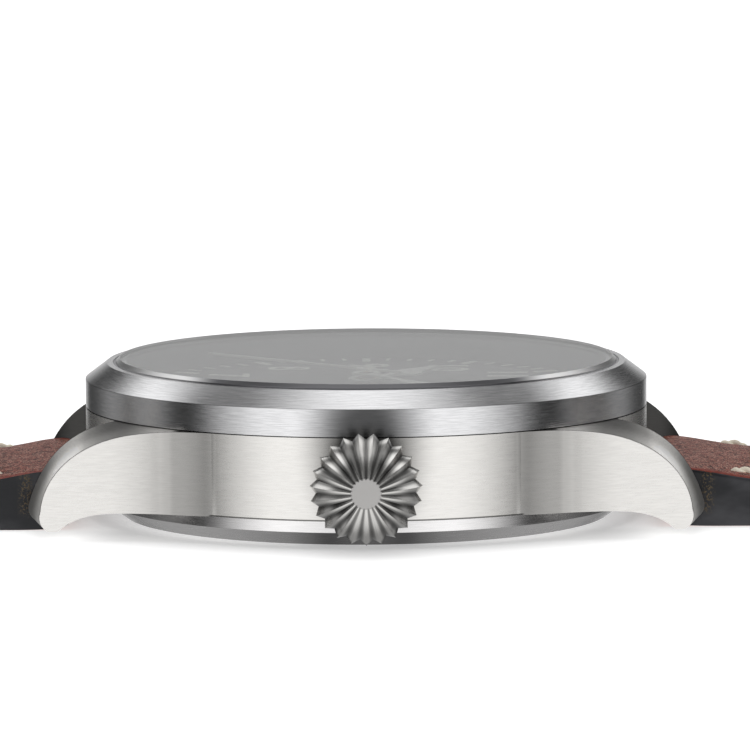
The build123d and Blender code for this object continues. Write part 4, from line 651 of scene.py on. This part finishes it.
def useModifier(piece, kind, **settings):
    modifier = piece.modifiers.new(kind.lower(), kind)
    for key, value in settings.items():
        setattr(modifier, key, value)
    bpy.ops.object.modifier_apply(modifier=modifier.name)


def roundEdges(piece, width, steps=3, sharperThan=60):
    useModifier(piece, "BEVEL", width=width * mm, segments=steps, limit_method="ANGLE",
                angle_limit=math.radians(sharperThan))


def dress(piece, materials, faceOf, smoothTo=50):
    piece.data.materials.clear()
    for material in materials:
        piece.data.materials.append(material)
    for face in piece.data.polygons:
        face.material_index = faceOf(face)
    selectOnly(piece)
    bpy.ops.object.shade_smooth_by_angle(angle=math.radians(smoothTo))


def profileAt(points, place):
    for (near, low), (far, high) in zip(points, points[1:]):
        if place <= far:
            return low + (high - low) * max(0, place - near) / (far - near)
    return points[-1][1]


# Heights and places are in millimetres, and places count out from the spring bar
padding = [(-1.55, 3.1), (-1.2, 3.85), (-0.5, 4.4), (0.5, 4.55), (1.5, 4.52), (5, 4.25), (8, 4.0), (16, 3.3),
           (30, 2.6)]
rootBottom = [(-1.55, 1.3), (-1.2, 0.55), (-0.5, 0.12), (1.5, 0)]
rootCuts = [-1.2, -0.5, 0.5, 2, 4, 6, 8, 12, 16, 20, 25, 30]
strapHalves = {
    "buckle": dict(
        side=1, node="buckle_strap", body="strap_12", stitching="buckle_stitching",
        length=76.5, point=0, stitched=66.0,
        cuts=rootCuts + [36, 38, 40.5, 43, 45.5, 47, 52, 60, 68],
        top=padding + [(36, 2.5), (45.5, 3.8), (76.5, 3.8)],
        bottom=rootBottom + [(36, 0), (45.5, 1.3), (76.5, 1.3)]),
    "hole": dict(
        side=-1, node="hole_strap", body="strap_6", stitching="hole_stitching",
        length=115.0, point=12.0, stitched=103.0,
        cuts=rootCuts + [38, 47, 56, 65, 74, 83, 92, 100, 103, 105, 107, 109, 111, 112.5, 113.8, 114.6],
        top=padding + [(115, 2.5)],
        bottom=rootBottom + [(115, 0)]),
}
strapShape = {
    "barCentre": 22.9,
    "rootEnd": -1.55,
    "width": 19.6,
    "endWidth": 18.0,
    "taper": 62.0,
    "tipCurve": 2.2,
    "tipBlunt": 0.03,
    "blank": 4.0,               # thickness of the flat blank
    "fallAbove": 2.25,          # what lies higher than these falls at its edges, or sinks under the stitches
    "channelAbove": 2.2,
    "camber": [(0, 0.1), (1.5, 0.2), (5, 0.68), (16, 0.6), (30, 0.3), (200, 0.2)],   # how far the edges fall
    "camberCurve": 3,
    "edgeRound": 0.6,
    "smoothing": 2,
    "channelHalf": 0.45,
    "channelDepth": 0.12,
    "channelStart": 3.0,
    "paintedAbove": (0.62, 0.15),   # how far a face turns to the side before it is painted, on top and below
}
strapHoles = {"count": 7, "first": 28.0, "pitch": 6.5, "radius": 0.9, "drill": 12.0, "sides": 24}
buckleSlot = {"middle": (97.9, 0, 3.0), "size": (5.6, 3.4, 8.0)}
# Rows of stitches, and one stitch: two strands twisted together, both ends drawn down into the leather
stitching = {
    "inset": 1.8,
    "start": 3.8,
    "pitch": 3.35,
    "length": 2.45,
    "sink": 0.06,
    "strand": 0.25,
    "offset": 0.17,
    "turns": 1.25,
    "dip": 0.42,
    "slim": 0.35,
    "sides": 8,
    "rings": 12,
    "turned": 0.05,     # random turn across the strap, and round the thread
    "rolled": 0.6,
}


def fall(place, across):
    share = min(abs(across) / (strapShape["width"] / 2), 1)
    return profileAt(strapShape["camber"], max(place, 0)) * share ** strapShape["camberCurve"]


def halfWidth(place, half):
    shape = strapShape
    narrowing = (shape["width"] - shape["endWidth"]) / 2 * min(max(place, 0) / shape["taper"], 1)
    width = shape["width"] / 2 - narrowing
    if half["point"] and place > half["length"] - half["point"]:
        past = (place - half["length"] + half["point"]) / half["point"]
        tip = math.sqrt(max(0, 1 - past ** shape["tipCurve"]))
        width *= tip * (1 - shape["tipBlunt"]) + shape["tipBlunt"]
    return width


# How far out of the middle a point was before its half was narrowed
def rowOf(co, half):
    place = abs(co.x) / mm - strapShape["barCentre"]
    return abs(co.y) / mm / halfWidth(place, half) * strapShape["width"] / 2


def buildStrap(name, half):
    shape = strapShape
    side = half["side"]
    blank = shape["blank"]
    length = half["length"] - shape["rootEnd"]
    middle = shape["barCentre"] + (half["length"] + shape["rootEnd"]) / 2
    clearSelection()
    bpy.ops.mesh.primitive_cube_add(size=1, location=(side * middle * mm, 0, blank / 2 * mm))
    piece = bpy.context.object
    piece.name = name
    piece.scale = (length * mm, shape["width"] * mm, blank * mm)
    applyPlace()
    bpy.ops.object.mode_set(mode="EDIT")
    across = shape["width"] / 2 - stitching["inset"]
    channel = [across - shape["channelHalf"], across, across + shape["channelHalf"]]
    rows = [-row for row in reversed(channel)] + [-across / 2, 0, across / 2] + channel
    for place in half["cuts"]:
        cutAcross((side * (shape["barCentre"] + place) * mm, 0, 0), (1, 0, 0))
    for row in rows:
        cutAcross((0, row * mm, 0), (0, 1, 0))
    cutAcross((0, 0, blank / 2 * mm), (0, 0, 1))
    fallingRows = [across / 2] + channel + [shape["width"] / 2]
    for place in [shape["rootEnd"]] + half["cuts"] + [half["length"]]:
        at = side * (shape["barCentre"] + place) * mm
        top = profileAt(half["top"], place)
        low = profileAt(half["bottom"], place)
        share = halfWidth(place, half) / (shape["width"] / 2)

        def near(co):
            return abs(co.x - at) < touch

        for level, lifted in ((blank, top), (blank / 2, (top + low) / 2), (0, low)):
            moveWhere(piece, lambda co: near(co) and abs(co.z - level * mm) < touch,
                      shift=(0, 0, (lifted - level) * mm))
        for row in fallingRows:
            moveWhere(piece, lambda co: near(co) and abs(abs(co.y) - row * mm) < touch
                      and co.z > shape["fallAbove"] * mm,
                      shift=(0, 0, -fall(place, row) * mm))
        moveWhere(piece, near, size=(1, share, 1))
    start = (shape["barCentre"] + shape["channelStart"]) * mm
    end = (shape["barCentre"] + half["stitched"]) * mm
    moveWhere(piece, lambda co: abs(rowOf(co, half) - across) * mm < touch
              and co.z > shape["channelAbove"] * mm and start < abs(co.x) < end,
              shift=(0, 0, -shape["channelDepth"] * mm))
    bpy.ops.object.mode_set(mode="OBJECT")
    roundEdges(piece, shape["edgeRound"])
    useModifier(piece, "SUBSURF", levels=shape["smoothing"], render_levels=shape["smoothing"])
    return piece


def holeCutters(half):
    tip = strapShape["barCentre"] + half["length"]
    cutters = []
    for hole in range(strapHoles["count"]):
        place = strapHoles["first"] + strapHoles["pitch"] * hole - tip
        clearSelection()
        bpy.ops.mesh.primitive_cylinder_add(
            vertices=strapHoles["sides"], radius=strapHoles["radius"] * mm, depth=strapHoles["drill"] * mm,
            location=(place * mm, 0, strapShape["blank"] / 2 * mm))
        cutters.append(bpy.context.object)
    return cutters


def slotCutter():
    clearSelection()
    bpy.ops.mesh.primitive_cube_add(size=1, location=[mm * along for along in buckleSlot["middle"]])
    slot = bpy.context.object
    slot.scale = [mm * along for along in buckleSlot["size"]]
    applyPlace()
    return slot


def cutWith(piece, cutters):
    for cutter in cutters:
        selectOnly(piece)
        useModifier(piece, "BOOLEAN", operation="DIFFERENCE", object=cutter, solver="EXACT")
        bpy.data.objects.remove(cutter)


def strapFace(face):
    onTop = face.normal.z > 0
    if abs(face.normal.y) > strapShape["paintedAbove"][0 if onTop else 1]:
        return 1
    return 0 if onTop else 2


for name, half in strapHalves.items():
    strap = buildStrap(name + "Strap", half)
    cutWith(strap, holeCutters(half) if name == "hole" else [slotCutter()])
    dress(strap, [topLeather, edgePaint, liningLeather], strapFace)
    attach(strap, half["body"])
    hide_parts(half["node"])
    strap.visible_glossy = False
print("strap halves shaped")


def buildStitch():
    length = stitching["length"]
    rings = stitching["rings"]
    strands = []
    for side in (-1, 1):
        clearSelection()
        bpy.ops.mesh.primitive_cylinder_add(
            vertices=stitching["sides"], radius=stitching["strand"] * mm, depth=length * mm,
            location=(side * stitching["offset"] * mm, 0, 0), end_fill_type="TRIFAN")
        strand = bpy.context.object
        applyPlace()
        bpy.ops.object.mode_set(mode="EDIT")
        for ring in range(1, rings):
            cutAcross((0, 0, (ring / rings - 0.5) * length * mm), (0, 0, 1))
        bpy.ops.object.mode_set(mode="OBJECT")
        strands.append(strand)
    piece = joinAll(strands)
    useModifier(piece, "SIMPLE_DEFORM", deform_method="TWIST", deform_axis="Z",
                angle=2 * math.pi * stitching["turns"])
    piece.rotation_euler = (0, math.pi / 2, 0)
    applyPlace()
    for ring in range(rings + 1):
        share = ring / rings * 2 - 1
        at = share * length / 2 * mm
        slim = 1 - stitching["slim"] * share ** 4
        drop = stitching["dip"] * abs(share) ** 3

        def near(co):
            return abs(co.x - at) < touch

        moveWhere(piece, near, size=(1, slim, slim))
        moveWhere(piece, near, shift=(0, 0, -drop * mm))
    bpy.ops.object.mode_set(mode="OBJECT")
    return piece


stitch = buildStitch()
for name, half in strapHalves.items():
    copies = []
    for number in range(int((half["stitched"] - 2 * stitching["start"]) / stitching["pitch"]) + 1):
        along = stitching["start"] + stitching["length"] / 2 + number * stitching["pitch"]
        across = halfWidth(along, half) - stitching["inset"]
        height = profileAt(half["top"], along) - fall(along, across) - stitching["sink"]
        rise = profileAt(half["top"], along + 0.5) - profileAt(half["top"], along - 0.5)
        for row in (-1, 1):
            copy = stitch.copy()
            copy.data = stitch.data.copy()
            bpy.context.collection.objects.link(copy)
            place = (half["side"] * (strapShape["barCentre"] + along) * mm, row * across * mm, height * mm)
            copy.matrix_world = (
                Matrix.Translation(place)
                @ Matrix.Rotation(-half["side"] * math.atan(rise), 4, "Y")
                @ Matrix.Rotation(random.uniform(-stitching["turned"], stitching["turned"]), 4, "Z")
                @ Matrix.Rotation(random.uniform(-stitching["rolled"], stitching["rolled"]), 4, "X"))
            copies.append(copy)
    rows = joinAll(copies)
    rows.name = name + "Stitches"
    applyPlace()
    rows.data.materials.append(thread)
    bpy.ops.object.shade_smooth()
    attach(rows, half["body"])
    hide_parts(half["stitching"])
bpy.data.objects.remove(stitch)
print("stitches laid")

keepers = {
    "bodies": {"fixed_keeper": "strap_12", "free_keeper": "free_keeper"},
    "weld": 0.01,           # the CAD mesh comes as loose triangles
    "flatWithin": 1,
    "edgeRound": 0.3,
    "paintedAbove": 0.6,
}


def keeperFace(face):
    return 1 if abs(face.normal.x) > keepers["paintedAbove"] else 0


for name, body in keepers["bodies"].items():
    keeper = nodes[name].copy()
    keeper.data = nodes[name].data.copy()
    keeper.parent = None
    keeper.name = name + "Leather"
    bpy.context.collection.objects.link(keeper)
    selectOnly(keeper)
    bpy.ops.object.mode_set(mode="EDIT")
    bpy.ops.mesh.select_all(action="SELECT")
    bpy.ops.mesh.remove_doubles(threshold=keepers["weld"] * mm)
    bpy.ops.mesh.dissolve_limited(angle_limit=math.radians(keepers["flatWithin"]))
    bpy.ops.object.mode_set(mode="OBJECT")
    roundEdges(keeper, keepers["edgeRound"])
    dress(keeper, [keeperLeather, edgePaint], keeperFace)
    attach(keeper, body)
    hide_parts(name)
print("keepers made")

# Numbers on the dial, upright to the wearer
dialNumbers = {
    "last": 11,
    "radius": 12.2,
    "height": 3.1,
    "sizeShare": 1.4,
    "bold": 0.06,
    "thick": 0.03,
    "face": 8.0,
}
numerals = []
for hour in range(1, dialNumbers["last"] + 1):
    clearSelection()
    bpy.ops.object.text_add()
    numeral = bpy.context.object
    numeral.data.body = str(hour)
    numeral.data.align_x = "CENTER"
    numeral.data.align_y = "CENTER"
    numeral.data.size = dialNumbers["height"] * dialNumbers["sizeShare"] * mm
    numeral.data.offset = dialNumbers["bold"] * mm
    numeral.data.extrude = dialNumbers["thick"] / 2 * mm
    bpy.ops.object.convert(target="MESH")
    numeral.rotation_euler = (0, 0, -math.pi / 2)
    angle = math.radians(-30 * hour)
    numeral.location = (dialNumbers["radius"] * math.cos(angle) * mm,
                        dialNumbers["radius"] * math.sin(angle) * mm,
                        (dialNumbers["face"] + dialNumbers["thick"] / 2) * mm)
    numerals.append(numeral)
numbers = joinAll(numerals)
numbers.name = "dialNumbers"
applyPlace()
numbers.data.materials.clear()
numbers.data.materials.append(finished["dialPrint"])
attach(numbers, "case")
print("dial numbers set")

# Floor, a hair below the watch, with a painted shadow where the case stands
floorLook = {
    "size": 12,
    "height": -0.00002,
    "tone": 0.8,
    "rough": 0.9,
    "glow": 0.63,
    "shadowTone": 0.52,
    "shadowSpan": (0.0188, 0.0265),
}
clearSelection()
bpy.ops.mesh.primitive_plane_add(size=floorLook["size"], location=(0, 0, floorLook["height"]))
floor = bpy.context.object
floor.name = "floor"
material, graph = newMaterial("floor")
x, y, z = graph.split(graph.place())
# painted shadow: the floor's glow is darker near the case
clear = graph.step(distance(x, y), *floorLook["shadowSpan"])
close(graph, {"Base Color": grey(floorLook["tone"]), "Roughness": floorLook["rough"],
              "Emission Color": graph.blend(clear, grey(floorLook["shadowTone"]), grey(1)),
              "Emission Strength": floorLook["glow"], "Specular IOR Level": 0.0})
floor.data.materials.append(material)
floor.visible_glossy = False
print("floor laid")

# Overhead softbox: lights the leather and the floor, and leaves the soft shadow under the case
softbox = {"size": 2.4, "height": 1.6, "behind": 0.2, "watts": 11.5}
clearSelection()
bpy.ops.object.light_add(type="AREA", location=(0, softbox["behind"], softbox["height"]))
lamp = bpy.context.object
lamp.name = "softbox"
lamp.data.size = softbox["size"]
lamp.data.energy = softbox["watts"]
lamp.visible_glossy = False
lamp.visible_camera = False

# Studio: what the polished faces see. Bearing runs from the camera (0) to straight behind (1), height from
# straight below (0) to straight above (1). Pairs are directions, from where one tone fades into the next
studio = {
    "bearing": [(0.0, 1.06), (0.1, 1.1), (0.16, 1.28), (0.23, 1.28), (0.275, 0.98), (0.315, 0.7),
                (0.36, 0.38), (0.4, 0.02), (0.47, 0.02), (0.53, 0.36), (0.6, 0.3), (0.63, 0.12),
                (0.68, 0.3), (0.72, 0.3), (0.79, 0.08), (0.93, 0.03), (0.97, 0.5), (1.0, 0.7)],
    "behind": [(0.0, 0.9), (0.47, 0.95), (0.5, 0.8), (0.53, 0.5), (0.555, 0.42), (0.6, 0.85), (1.0, 0.85)],
    "height": [(0.0, 0.2), (0.63, 0.2), (0.67, 0.55), (0.7, 0.95), (0.755, 1.15), (0.79, 0.3), (0.865, 0.2),
               (0.9, 0.9), (0.93, 1.3), (1.0, 1.35)],
    "brightest": 2.0,
    "bearingEnd": 0.999,
    "aboveFront": 0.12,
    "aboveSpan": (-0.3, -0.02),
    "behindSpan": (0.93, 0.985),
    "levelSpan": (0.6, 0.68),
    "below": (1.0, 0.32),
    "belowSpan": (-0.25, 0.35),
    "groundSpan": (-0.3, -0.5),
    "power": 1.0,
}
world = bpy.data.worlds.new("studio")
bpy.context.scene.world = world
world.use_nodes = True
graph = Graph(world.node_tree)


def studioTone(place, name):
    stops = [(at, level / studio["brightest"]) for at, level in studio[name]]
    return graph.node("ShaderNodeValToRGB", {0: place}, stops=stops) * studio["brightest"]


x, y, z = graph.split(graph.node("ShaderNodeTexCoord", output="Generated"))
bearing = abs(x.math("ARCTAN2", 0 - y)) * (1 / math.pi)
height = z.math("ARCSINE") * (1 / math.pi) + 0.5
above = graph.shade(graph.step(y, *studio["aboveSpan"]), studio["aboveFront"], studioTone(height, "height"))
around = studioTone(bearing * studio["bearingEnd"], "bearing")
level = graph.shade(graph.step(y, *studio["behindSpan"]), around, studioTone(height, "behind"))
upper = graph.shade(graph.step(height, *studio["levelSpan"]), level, above)
below = graph.shade(graph.step(y, *studio["belowSpan"]), *studio["below"])
seen = graph.shade(graph.step(z, *studio["groundSpan"]), upper, below)
tone = graph.shade(graph.node("ShaderNodeLightPath", output="Is Camera Ray"), seen, 1.0)
background = graph.node("ShaderNodeBackground", {"Color": graph.vector(tone, tone, tone),
                                                 "Strength": studio["power"]})
graph.node("ShaderNodeOutputWorld", {"Surface": background})
print("studio ready")

# Camera: place in millimetres, turns in radians
view = {
    "place": (0.67, -500.0, 68.87),
    "down": 0.116733,
    "roll": 0.0048032,
    "lens": 322.49,
    "sensor": 36,
    "nearest": 0.01,
    "farthest": 20,
}
lens = bpy.data.cameras.new("camera")
lens.sensor_width = view["sensor"]
lens.lens = view["lens"]
lens.clip_start = view["nearest"]
lens.clip_end = view["farthest"]
cameraObject = bpy.data.objects.new("camera", lens)
bpy.context.collection.objects.link(cameraObject)
forward = Vector((0, math.cos(view["down"]), -math.sin(view["down"])))
up = Vector((0, math.sin(view["down"]), math.cos(view["down"])))
right = Vector((1, 0, 0))
turnedUp = math.cos(view["roll"]) * up + math.sin(view["roll"]) * right
turnedRight = math.cos(view["roll"]) * right - math.sin(view["roll"]) * up
cameraObject.matrix_world = (Matrix.Translation(Vector(view["place"]) * mm)
                             @ Matrix((turnedRight, turnedUp, -forward)).transposed().to_4x4())
bpy.context.scene.camera = cameraObject
bpy.context.scene.view_settings.view_transform = "Standard"
